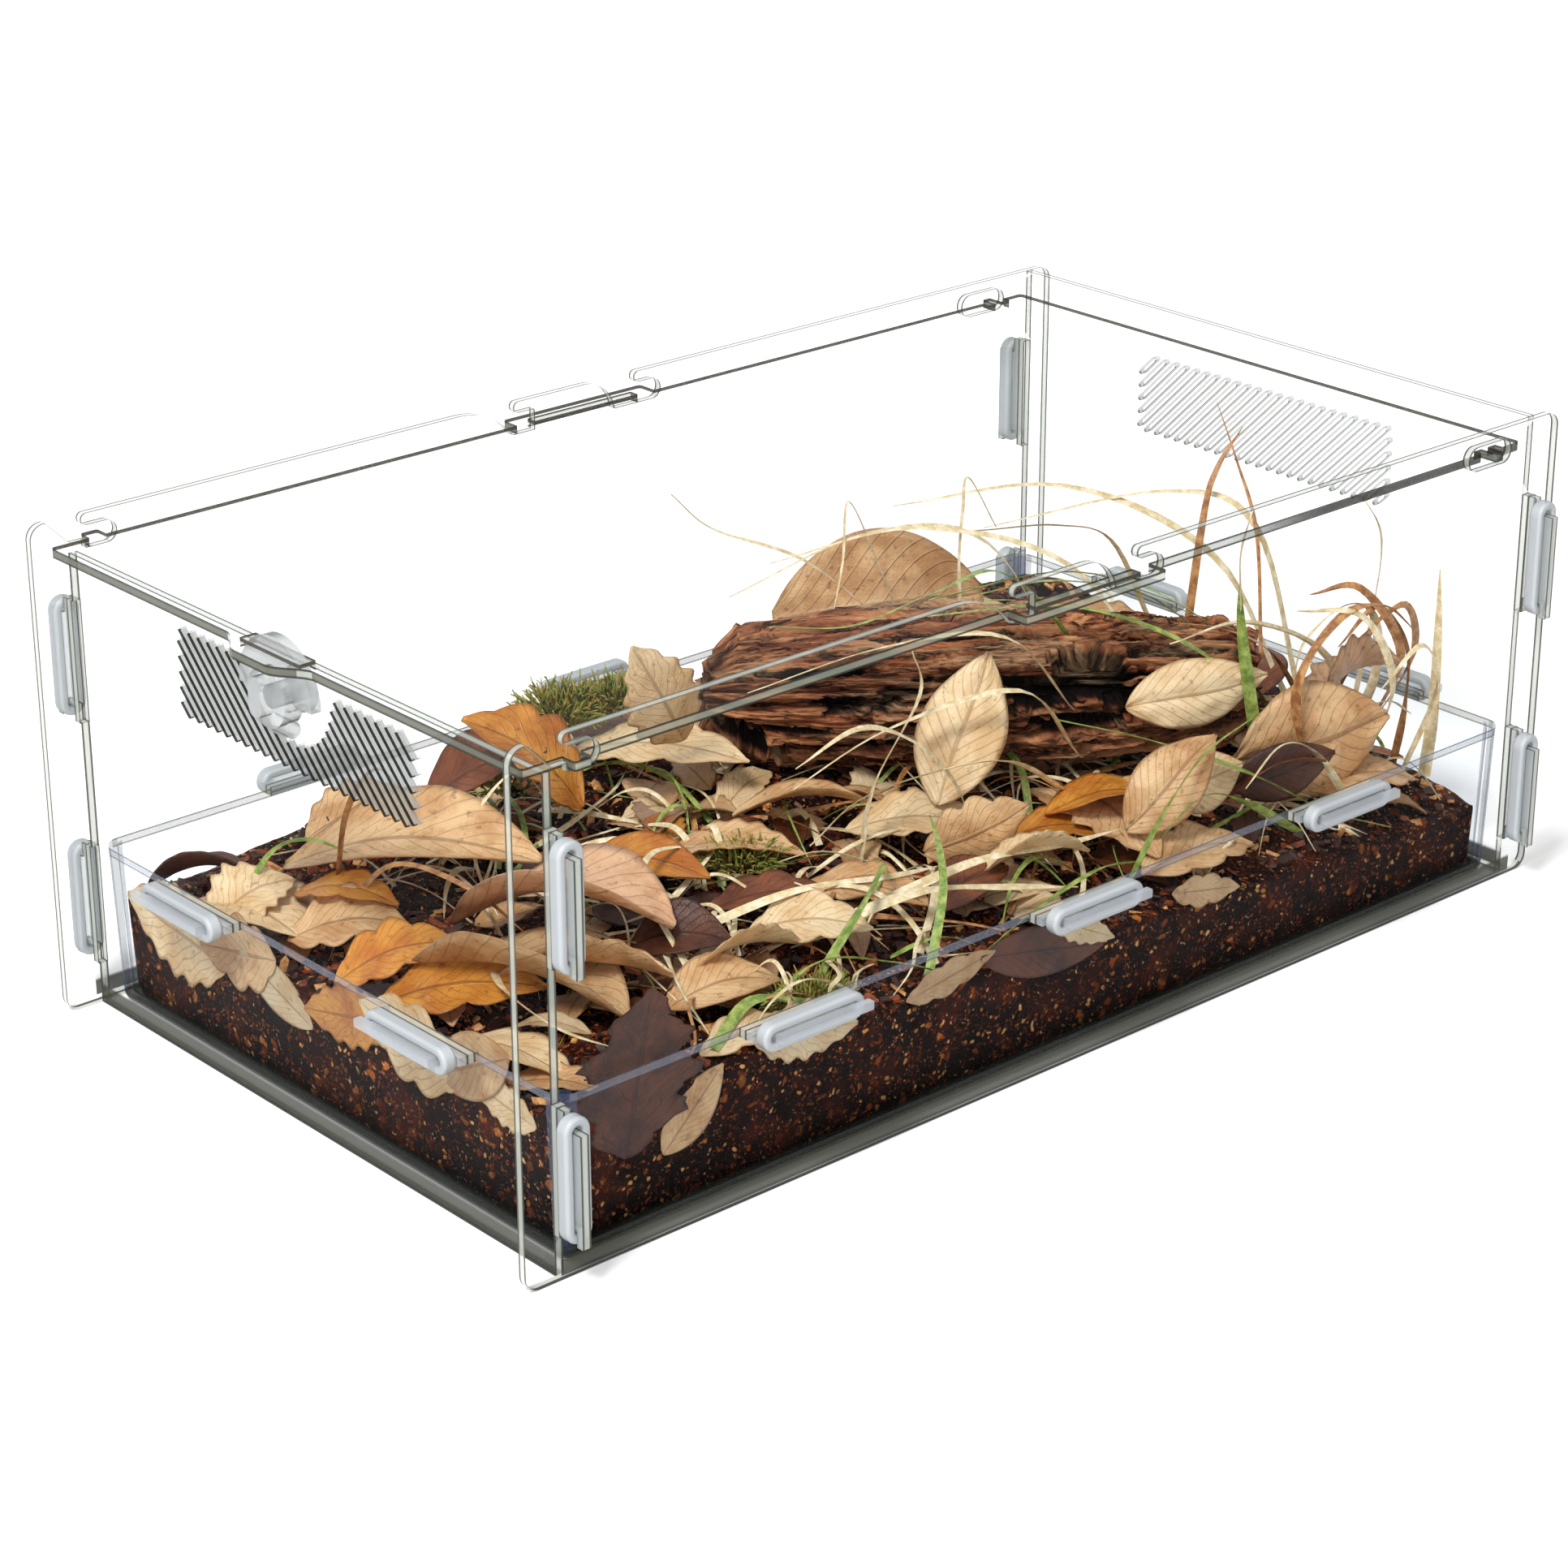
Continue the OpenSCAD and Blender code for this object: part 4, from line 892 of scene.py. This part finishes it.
# Larger leaves, each in its place: name, look, form, both ends, width, roll, bow, cup and more.
# Those with a face value stand with their blade across that direction.
leafRows = (
    ("behind_log", "tan", "long", (45, 71, 60), (97, 39, 64), 43, 68, 6, 40, dict(tone=1.1)),
    ("on_log_end", "pale", "wavy", (-26, 26, 56), (-48, 20, 90), 21, 12, 3, -20, dict(face=viewer)),
    ("below_log", "pale", "oak", (-36, 60, 46), (-10, 18, 48), 22, 12, 4, 20),
    ("on_log_front", "pale", "plain", (14, -30, 44), (40, -22, 78), 24, -8, 4, -34,
     dict(twist=34, crease=2.6, face=viewer)),
    ("standing_orange", "orange", "oak", (-60, 27, 46), (-84, 46, 72), 28, -20, 5, 40),
    ("standing_brown", "brown", "plain", (-86, 62, 42), (-66, 34, 62), 22, 30, 5, 50),
    ("broad_left", "tan", "long", (-128, 66, 37), (-92, 4, 48), 34, 10, 8, 45),
    ("broad_front", "rose", "long", (-120, 4, 40), (-92, -48, 48), 46, -14, 9, 50, dict(tone=1.15)),
    ("broad_low", "tan", "long", (-142, -8, 38), (-122, -66, 40), 40, -20, 7, 60, dict(tone=0.85)),
    ("left_wall_1", "pale", "oak", (-156, 70, 34), (-150, 28, 37), 36, -8, 4, 18),
    ("left_wall_2", "tan", "oak", (-152, 30, 36), (-128, 12, 39), 24, 12, 4, 24),
    ("left_orange_tip", "orange", "oak", (-140, 44, 40), (-128, 16, 43), 15, 5, 4, 20, dict(tone=1.1)),
    ("left_orange", "orange", "oak", (-158, 2, 36), (-132, -14, 45), 20, 14, 4, 22, dict(tone=1.15)),
    ("left_low", "pale", "oak", (-154, -36, 33), (-146, -76, 35), 20, -10, 4, 20),
    ("left_low_2", "tan", "wavy", (-160, -60, 31), (-140, -86, 33), 15, -4, 4, 20),
    ("corner_maple", "dark", "maple", (-143, -bedY - 0.35, 20), (-136, -bedY - 1.8, 62), 40, 0, 0, -2,
     dict(thick=0.25, crease=0.2, face=frontWall, tone=1.1)),
    ("corner_low", "tan", "plain", (-132, -bedY - 0.25, 17), (-114, -bedY - 0.9, 35), 14, 0, 0, -2,
     dict(thick=0.25, crease=0.2, face=frontWall, tone=0.85)),
    ("right_on_log", "pale", "plain", (68, -46, 62), (106, -62, 66), 19, 14, 4, -40,
     dict(twist=36, crease=2.6, face=viewer)),
    ("right_lean", "tan", "plain", (42, -72, 42), (68, -78, 64), 19, -8, 4, -38,
     dict(twist=-38, crease=2.6, face=viewer)),
    ("right_broad", "tan", "plain", (94, -62, 44), (136, -80, 52), 34, 22, 5, -34,
     dict(twist=-24, crease=2.4, face=viewer)),
    ("right_tuck", "dark", "plain", (84, -70, 42), (112, -82, 48), 16, 20, 3, -30, dict(face=viewer)),
    ("foot_pale", "pale", "plain", (62, -66, 44), (84, -74, 50), 17, 12, 2, -20, dict(face=viewer)),
    ("foot_tan", "tan", "oak", (-4, -44, 40), (22, -56, 50), 19, 22, 3, -20, dict(face=viewer)),
    ("right_brown", "brown", "plain", (80, -72, 40), (106, -84, 48), 14, -20, 4, 24),
    ("right_curled", "rose", "wavy", (122, -66, 50), (152, -70, 60), 24, -40, 6, 80),
    ("middle_right", "tan", "wavy", (52, -40, 42), (46, -80, 36), 26, 8, 4, 24),
    ("middle_front", "tan", "oak", (40, -80, 33), (76, -86, 33), 20, 10, 4, 22),
    ("middle_left", "tan", "oak", (-38, -34, 37), (-20, -64, 37), 20, 6, 4, 20),
    ("middle_brown", "brown", "plain", (-22, -66, 36), (10, -60, 38), 16, 10, 4, 30),
    ("middle_orange", "orange", "plain", (-76, 8, 42), (-58, -22, 42), 18, 14, 4, 24),
    ("front_tan", "tan", "plain", (-108, -64, 37), (-78, -72, 38), 20, 8, 4, 30),
    ("front_pale", "pale", "oak", (-114, -84, 34), (-86, -88, 34), 13, 10, 4, 20),
    ("under_1", "brown", "oak", (-66, -30, 38), (-36, -48, 38), 22, -6, 4, 24),
    ("under_2", "pale", "wavy", (-6, -16, 38), (24, -40, 38), 22, 8, 4, 22),
    ("under_3", "tan", "wavy", (-52, 4, 38), (-28, -24, 40), 22, -4, 4, 26),
    ("under_4", "orange", "oak", (24, -46, 37), (46, -66, 37), 18, 4, 4, 24),
    ("back_1", "tan", "wavy", (116, 40, 44), (146, 10, 46), 30, 6, 4, 20),
    ("back_2", "pale", "oak", (92, 76, 42), (132, 60, 44), 28, -6, 4, 22),
    ("back_3", "brown", "oak", (-30, 82, 38), (8, 76, 40), 26, 5, 4, 20),
    ("back_4", "tan", "wavy", (-110, 82, 34), (-76, 74, 38), 24, 8, 4, 20),
    ("left_wall_3", "pale", "wavy", (-160, 52, 34), (-136, 50, 41), 22, 10, 4, 26),
    ("left_dark", "dark", "plain", (-158, 84, 34), (-140, 62, 40), 18, -24, 4, 50),
    ("left_amber", "orange", "oak", (-156, -14, 36), (-128, -44, 42), 24, 16, 4, 28),
    ("left_fold", "tan", "wavy", (-134, -32, 42), (-104, -62, 44), 26, -26, 4, 60),
    ("front_fold", "pale", "wavy", (-96, -58, 40), (-66, -66, 42), 22, -30, 4, 44),
    ("middle_pale", "pale", "oak", (-70, -50, 40), (-46, -70, 41), 20, 14, 4, 20),
    ("middle_dark", "dark", "plain", (-96, -36, 40), (-78, -54, 42), 18, 24, 4, 50),
    ("centre_amber", "orange", "plain", (34, -50, 42), (64, -66, 44), 24, -10, 4, 22, dict(tone=1.15)),
    ("centre_fold", "pale", "wavy", (0, -62, 40), (26, -74, 42), 20, -24, 4, 50),
    ("log_foot", "tan", "long", (-28, 4, 42), (2, -16, 44), 20, -16, 4, 40),
    ("right_low", "tan", "oak", (112, -74, 34), (144, -84, 32), 22, 8, 4, 20),
    ("right_back", "brown", "plain", (130, -30, 42), (156, -4, 46), 28, 12, 4, 30),
)
leaves = {}
for row in leafRows:
    look, form, start, end, width, roll, bow, cup = row[1:9]
    leaf = dict(look=look, form=form, ends=(start, end), width=width, roll=roll, bow=bow, cup=cup)
    leaf.update(*row[9:])
    leaves["leaf_" + row[0]] = leaf
# Leaves pressed against the clear walls: place along the wall, drop, look, length, width, tilt and tone.
wallLeaves = {
    "latch": (
        (66, -1, "pale", 44, 25, 7, 1.0),
        (38, 3, "tan", 34, 20, -9, 0.85),
        (22, -2, "pale", 30, 13, 12, 0.7),
        (-8, 1, "orange", 36, 16, -8, 0.9),
        (-34, 2, "pale", 40, 22, 9, 0.95),
        (-58, 4, "tan", 30, 17, -16, 0.8),
        (-70, -2, "pale", 24, 11, 4, 0.9),
    ),
    "front": (
        (-88, 2, "pale", 34, 15, -5, 0.9),
        (-40, 3, "tan", 30, 9, 5, 0.7),
        (-8, 1, "dark", 44, 14, -7, 1.1),
        (6, 4, "pale", 24, 8, -12, 0.85),
        (52, 3, "tan", 26, 9, -4, 0.8),
    ),
}
for wall, row in wallLeaves.items():
    for index, (place, drop, look, length, width, tilt, tone) in enumerate(row):
        ends = []
        for side in (-0.5, 0.5):
            run = place + side * length
            x, y = (bedX0, run) if wall == "latch" else (run, -bedY)
            z = bedHeight(x, y) + drop + side * tilt
            depth = wallOffset(z) - 0.2
            ends.append((bedX0 - depth, run, z) if wall == "latch" else (run, -bedY - depth, z))
        form, face = ("wavy", "oak", "long")[index % 3], latchWall if wall == "latch" else frontWall
        leaves[f"leaf_{wall}_{index}"] = dict(look=look, form=form, ends=ends, width=width, bow=0.0, cup=-2,
                                              thick=0.2, crease=0.2, tone=tone, face=face)
madeLeaves = {}
for name, leaf in leaves.items():
    madeLeaves[name] = makeLeaf(name, **leaf)
    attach(madeLeaves[name], "enclosure")
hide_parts("standing_leaf")
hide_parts("leaf_litter")


# Small broken leaves scattered between the larger ones.
litter = {"count": 120, "looks": ("pale", "tan", "brown", "orange", "rose", "dark"),
        "shares": (5, 6, 4, 1, 2, 3)}
for index in range(litter["count"]):
    x, y = uniform(bedX0 + 8, bedX1 - 8), uniform(-bedY + 8, bedY - 8)
    heading, length = uniform(0, math.tau), uniform(12, 30)
    farX = min(bedX1 - 4, max(bedX0 + 4, x + length * math.cos(heading)))
    farY = min(bedY - 4, max(-bedY + 4, y + length * math.sin(heading)))
    start = (x, y, bedHeight(x, y) + uniform(0.2, 2.5))
    end = (farX, farY, bedHeight(farX, farY) + uniform(0.5, 5))
    piece = makeLeaf(f"leaf_scrap_{index:02d}", random.choices(litter["looks"], litter["shares"])[0],
                     (start, end), width=uniform(7, 16), form=random.choice(("plain", "oak", "wavy")),
                     roll=uniform(-18, 18), bow=uniform(0.5, 3), cup=uniform(10, 50),
                     twist=uniform(-30, 30), sweep=uniform(-2, 2),
                     tone=uniform(0.75, 1.15), thick=0.3, rows=18, columns=8)
    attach(piece, "enclosure")
print("leaves done")


# Grass.

bladeLooks = [plainMaterial("blade_dry", "CDB582", "F8EACA", 300.0, 0.5),
              plainMaterial("blade_green", "5F7A2C", "B2BF66", 260.0, 0.45),
              plainMaterial("blade_brown", "8A5630", "D09A60", 300.0, 0.5)]


# A ribbon along a line of points, folded a little down its middle.
def addBlade(points, width, kind, vertices, faces, kinds, turn=0.0):
    line = [Vector(p) for p in points]
    count = len(line)
    start = len(vertices)
    for i, point in enumerate(line):
        run = (line[min(count - 1, i + 1)] - line[max(0, i - 1)]).normalized()
        if i == 0:
            flat = run.cross(Vector((0, 0, 1)))
            level = flat.normalized() if flat.length > 0.05 else Vector((1, 0, 0))
        level = (level - run * level.dot(run)).normalized()
        across = Matrix.Rotation(turn + 0.25 * math.sin(i * 0.5), 3, run) @ level
        normal = run.cross(across)
        half = width / 2 * (1 - 0.9 * (i / (count - 1)) ** 2.5)
        for offset in (across * half, normal * 0.28, -across * half, -normal * 0.12):
            vertices.append((point + offset) * mm)
    for i in range(count - 1):
        for j in range(4):
            k = (j + 1) % 4
            faces.append((start + i * 4 + j, start + i * 4 + k, start + i * 4 + 4 + k,
                    start + i * 4 + 4 + j))
            kinds.append(kind)
    for ring, order in ((0, (3, 2, 1, 0)), (count - 1, (0, 1, 2, 3))):
        faces.append(tuple(start + ring * 4 + j for j in order))
        kinds.append(kind)


# Catmull-Rom curve through a few chosen points.
def smoothLine(points, pieces=7):
    knots = [Vector(p) for p in points]
    knots = [knots[0] * 2 - knots[1]] + knots + [knots[-1] * 2 - knots[-2]]
    line = []
    for i in range(1, len(knots) - 2):
        p0, p1, p2, p3 = knots[i - 1:i + 3]
        for k in range(pieces):
            t = k / pieces
            line.append(0.5 * ((2 * p1) + (p2 - p0) * t + (2 * p0 - 5 * p1 + 4 * p2 - p3) * t * t
                    + (3 * p1 - p0 - 3 * p2 + p3) * t ** 3))
    return line + [knots[-2]]


# Longer blades: points they pass through, width and kind (0 dry, 1 green, 2 brown).
blades = (
    (((150, -30, 40), (140, -10, 78), (110, 20, 98), (70, 48, 94)), 2.6, 0),
    (((150, -36, 40), (146, -20, 88), (132, 2, 96), (88, 30, 88)), 2.2, 0),
    (((102, -62, 50), (95, -62, 80), (93, -62, 95)), 3.6, 1),
    (((93.5, -62.5, 88), (93, -62, 104), (97, -62, 115)), 3.4, 0),
    (((158, -48, 34), (160, -52, 66), (160, -54, 90), (156, -50, 102)), 3.4, 0),
    (((150, -60, 36), (152, -70, 62), (138, -66, 84), (124, -60, 84)), 3.2, 2),
    (((146, -66, 34), (142, -76, 58), (130, -74, 80), (112, -66, 84)), 3.0, 0),
    (((156, -56, 34), (162, -66, 58), (150, -72, 78), (134, -70, 72)), 3.0, 2),
    (((148, -76, 30), (156, -80, 54), (146, -82, 70), (132, -80, 60)), 2.8, 0),
    (((140, -60, 36), (128, -64, 66), (104, -56, 80), (84, -46, 76)), 2.4, 0),
    (((126, -52, 40), (104, -40, 76), (74, -20, 92), (44, 6, 84)), 2.2, 1),
    (((118, -56, 40), (96, -50, 70), (66, -28, 86), (30, 0, 84)), 2.0, 1),
    (((112, -20, 46), (92, 0, 84), (58, 26, 96), (24, 48, 88)), 2.0, 0),
    (((104, 10, 44), (84, 24, 86), (54, 40, 92), (16, 56, 78)), 2.2, 0),
    (((60, -34, 60), (40, -28, 84), (14, -8, 82), (-14, 14, 70)), 2.4, 0),
    (((56, -40, 50), (34, -40, 74), (4, -22, 66), (-20, -6, 48)), 2.4, 0),
    (((46, -46, 44), (20, -46, 60), (-10, -30, 54), (-26, -24, 42)), 2.0, 0),
    (((110, -86, 30), (84, -78, 48), (56, -66, 62), (34, -54, 70)), 3.2, 1),
    (((96, -84, 30), (76, -82, 44), (60, -82, 50), (42, -84, 44)), 3.4, 1),
    (((120, -82, 30), (104, -82, 50), (90, -82, 56), (72, -86, 50)), 2.6, 0),
    (((30, -84, 34), (44, -84, 52), (60, -82, 62), (80, -80, 66)), 2.6, 1),
    (((40, -78, 36), (18, -84, 42), (-8, -86, 38), (-30, -88, 32)), 2.4, 1),
    (((-30, -58, 40), (-6, -66, 46), (20, -70, 44), (42, -70, 42)), 2.6, 0),
    (((-56, -60, 40), (-30, -70, 46), (-6, -76, 42), (14, -82, 38)), 3.4, 0),
    (((-80, -40, 40), (-56, -52, 48), (-30, -58, 46), (-8, -56, 42)), 2.4, 0),
    (((-94, -56, 40), (-86, -30, 50), (-70, -14, 50), (-48, -10, 44)), 2.2, 0),
    (((-112, -86, 36), (-96, -82, 42), (-80, -88, 38), (-64, -90, 34)), 3.0, 1),
    (((-90, -78, 37), (-72, -80, 44), (-54, -86, 40), (-40, -90, 34)), 2.2, 1),
    (((-70, -76, 37), (-50, -70, 48), (-34, -60, 50), (-22, -48, 44)), 3.0, 1),
    (((-44, -88, 34), (-30, -78, 48), (-20, -66, 54), (-8, -50, 54)), 2.4, 1),
    (((-136, 30, 38), (-126, 20, 52), (-118, 0, 50), (-116, -20, 44)), 2.0, 2),
    (((-130, 40, 38), (-134, 28, 66), (-128, 22, 78), (-122, 16, 66)), 2.6, 2),
    (((-134, -30, 44), (-142, -46, 46), (-140, -64, 42), (-128, -74, 36)), 2.2, 0),
    (((-104, 30, 42), (-90, 26, 60), (-80, 26, 62), (-72, 24, 50)), 1.4, 0),
    (((-150, 56, 34), (-140, 54, 48), (-130, 50, 50), (-120, 42, 44)), 1.8, 1),
    (((62, 40, 62), (40, 52, 84), (16, 62, 96), (4, 66, 108)), 1.4, 0),
    (((60, 30, 60), (52, 34, 84), (44, 38, 104), (40, 36, 88), (34, 34, 72)), 1.4, 0),
    (((128, -40, 60), (142, -24, 88), (150, -8, 104), (152, 2, 118)), 1.3, 2),
    (((110, -72, 38), (107, -72, 66), (123, -72, 81), (141, -72, 80), (156, -72, 68)), 3.6, 2),
    (((156, -66, 26), (160, -66, 44), (159, -66, 62), (146, -66, 77), (130, -66, 69)), 3.4, 2),
    (((123, -60, 34), (137, -60, 52), (150, -60, 66), (158, -60, 72)), 3.0, 2),
    (((158, -76, 26), (160, -76, 45), (160, -76, 66), (159, -76, 87)), 3.6, 0),
    (((138, -50, 42), (121, -50, 65), (101, -50, 77), (81, -50, 84)), 2.6, 2),
    (((146, -55, 34), (158, -55, 46), (160, -55, 60), (155, -55, 71), (143, -55, 74), (128, -55, 67),
         (125, -55, 54)), 2.8, 0),
    (((99, -70, 36), (125, -70, 48), (146, -70, 50), (158, -70, 43)), 3.0, 0),
    (((158, 30, 42), (140, 30, 72), (117, 30, 82), (85, 30, 88), (62, 30, 94)), 1.6, 0),
    (((72, 20, 50), (69, 20, 81), (70, 20, 100), (72, 20, 109), (83, 20, 92)), 1.3, 0),
    (((128, -10, 42), (135, -10, 90), (140, -10, 104), (150, -10, 114)), 2.4, 2),
    (((82, -24, 60), (49, -20, 97), (22, -20, 99), (-7, -20, 97), (-36, -20, 104)), 1.8, 1),
    (((132, -40, 38), (105, -40, 70), (79, -40, 90), (45, -40, 102), (18, -40, 105)), 2.0, 1),
    (((-14, -30, 34), (-9, -30, 56), (7, -30, 77), (4, -30, 90)), 3.0, 0),
    (((16, -42, 34), (12, -40, 52), (-3, -40, 69), (-23, -40, 79), (-45, -40, 74)), 2.6, 0),
)


straws = {"count": 260, "length": (18, 60), "rise": (2, 12), "width": (0.7, 2.2), "shares": (7, 2, 2)}


def makeGrass():
    vertices, faces, kinds = [], [], []
    for points, width, kind in blades:
        addBlade(smoothLine(points), width, kind, vertices, faces, kinds, 0.5 * math.sin(points[0][0]))
    for _ in range(straws["count"]):
        x, y = uniform(-110, bedX1 - 8), uniform(-bedY + 6, bedY - 30)
        heading = uniform(-0.5, 2.4) + math.pi * random.randint(0, 1)
        length = uniform(*straws["length"])
        rise = uniform(*straws["rise"])
        points = []
        for k in range(5):
            t = k / 4
            px = min(bedX1 - 3, max(bedX0 + 3, x + length * t * math.cos(heading + 0.5 * t)))
            py = min(bedY - 3, max(-bedY + 3, y + length * t * math.sin(heading + 0.5 * t)))
            points.append((px, py, bedHeight(px, py) + 1 + rise * math.sin(math.pi * t)))
        addBlade(smoothLine(points, 4), uniform(*straws["width"]),
                random.choices((0, 1, 2), straws["shares"])[0], vertices, faces, kinds,
                uniform(-0.5, 0.5))
    grass = meshObject("grass_blades", vertices, faces, bladeLooks, smooth=False)
    grass.data.polygons.foreach_set("material_index", kinds)
    return grass


grassBlades = makeGrass()
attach(grassBlades, "enclosure")
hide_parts("grass")
print("grass done")


# Moss.

mossLooks = [plainMaterial("moss_green", "5C6A22", "A3A347", 500.0, 0.7),
             plainMaterial("moss_gold", "7E6A24", "C0A650", 500.0, 0.7)]
mossMounds = (((-36, 66, 52), (17, 10, 9), 900), ((-20, 60, 54), (11, 8, 7), 450),
        ((-78, -82, 34), (13, 8, 5), 420), ((-40, -14, 38), (12, 9, 4), 300),
        ((-60, 54, 44), (12, 9, 6), 260))


def makeMoss():
    vertices, faces, kinds = [], [], []
    for centre, size, count in mossMounds:
        for _ in range(count):
            direction = Vector((random.gauss(0, 1), random.gauss(0, 1), abs(random.gauss(0, 0.8)))).normalized()
            root = Vector(centre) + direction * Vector(size) * uniform(0.4, 1)
            lean = direction + Vector((uniform(-0.8, 0.8), uniform(-0.8, 0.8), uniform(-0.2, 0.9)))
            lean.normalize()
            length = uniform(2.5, 6)
            tip = root + lean * length
            points = [root, root.lerp(tip, 0.5) + Vector((0, 0, 0.5)), tip]
            points = [Vector((max(bedX0 - 1, min(bedX1 + 2, p.x)), max(-bedY - 2, min(bedY + 2, p.y)), p.z))
                    for p in points]
            addBlade(points, uniform(0.5, 1.0), random.choices((0, 1), (3, 2))[0], vertices, faces,
                    kinds, uniform(0, 3))
    moss = meshObject("moss_tufts", vertices, faces, mossLooks)
    moss.data.polygons.foreach_set("material_index", kinds)
    return moss


mossTufts = makeMoss()
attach(mossTufts, "enclosure")
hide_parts("moss")
print("moss done")


# Floor, light and camera.

studio = {
    "floorHalf": 6.0,
    "floor": (0.93, 0.93, 0.93, 1),
    "floorGlow": 0.32,
    "farGlow": 0.6,
    "farSpan": (0.24, 0.7),
    "sky": 0.42,
    "keyPower": 21.0,
    "keyPlace": (-0.9, -0.35, 1.35),
    "keySize": 0.4,
    "fillPower": 5.0,
    "fillPlace": (-0.9, -1.4, 0.8),
    "fillSize": 1.2,
    "aim": (0, 0, 0.05),
}


# 1 for rays that show the floor or the sky itself, 0 for rays that only carry their light.
def seenRays(s):
    path = s.add("LightPath").outputs
    return s.most(path["Is Camera Ray"], s.most(path["Is Glossy Ray"], path["Is Transmission Ray"]))


def makeFloor():
    size = studio["floorHalf"]
    corners = [(-size, -size, 0), (size, -size, 0), (size, size, 0), (-size, size, 0)]
    floor = meshObject("studio_floor", corners, [(0, 1, 2, 3)], [], False)
    floor.location.z = -0.2 * mm
    s = Shader("studio_white")
    diffuse = s.add("BsdfDiffuse", {"Color": studio["floor"]})
    place = s.place()
    distance = s.add("VectorMath", {0: place}, operation="LENGTH").outputs["Value"]
    strength = s.scaled(s.step(distance, *studio["farSpan"]), studio["farGlow"], studio["floorGlow"])
    glow = s.add("Emission", {"Color": (1, 1, 1, 1), "Strength": s.times(seenRays(s), strength)})
    floor.data.materials.append(s.finish(s.add("AddShader", {0: diffuse, 1: glow})))


def makeWorld():
    world = bpy.data.worlds.new("studio_world")
    bpy.context.scene.world = world
    s = Shader("studio_world", world)
    strength = s.scaled(seenRays(s), 1.0 - studio["sky"], studio["sky"])
    s.finish(s.add("Background", {"Color": (1, 1, 1, 1), "Strength": strength}))


def makeLight(name, place, size, power):
    light = bpy.data.lights.new(name, "AREA")
    light.size = size
    light.energy = power
    obj = addObject(name, light)
    obj.location = place
    obj.rotation_euler = (Vector(studio["aim"]) - Vector(place)).to_track_quat("-Z", "Y").to_euler()


camera = {
    "place": (-0.651756, -0.721829, 0.460102),
    "azimuth": 0.724,
    "elevation": 0.404,
    "roll": -0.002,
    "lens": 91.1,
}


def makeCamera():
    data = bpy.data.cameras.new("photo_camera")
    data.lens = camera["lens"]
    data.sensor_width = 36
    data.clip_start, data.clip_end = 0.01, 50
    obj = addObject("photo_camera", data)
    az, el = camera["azimuth"], camera["elevation"]
    look = Vector((math.sin(az) * math.cos(el), math.cos(az) * math.cos(el), -math.sin(el)))
    turn = look.to_track_quat("-Z", "Y").to_matrix() @ Matrix.Rotation(camera["roll"], 3, "Z")
    obj.matrix_world = Matrix.Translation(camera["place"]) @ turn.to_4x4()
    bpy.context.scene.camera = obj


makeFloor()
makeWorld()
makeLight("key_light", studio["keyPlace"], studio["keySize"], studio["keyPower"])
makeLight("fill_light", studio["fillPlace"], studio["fillSize"], studio["fillPower"])
makeCamera()
bpy.context.scene.view_settings.view_transform = "Standard"
bpy.context.scene.cycles.transparent_max_bounces = 48

print("stage done")
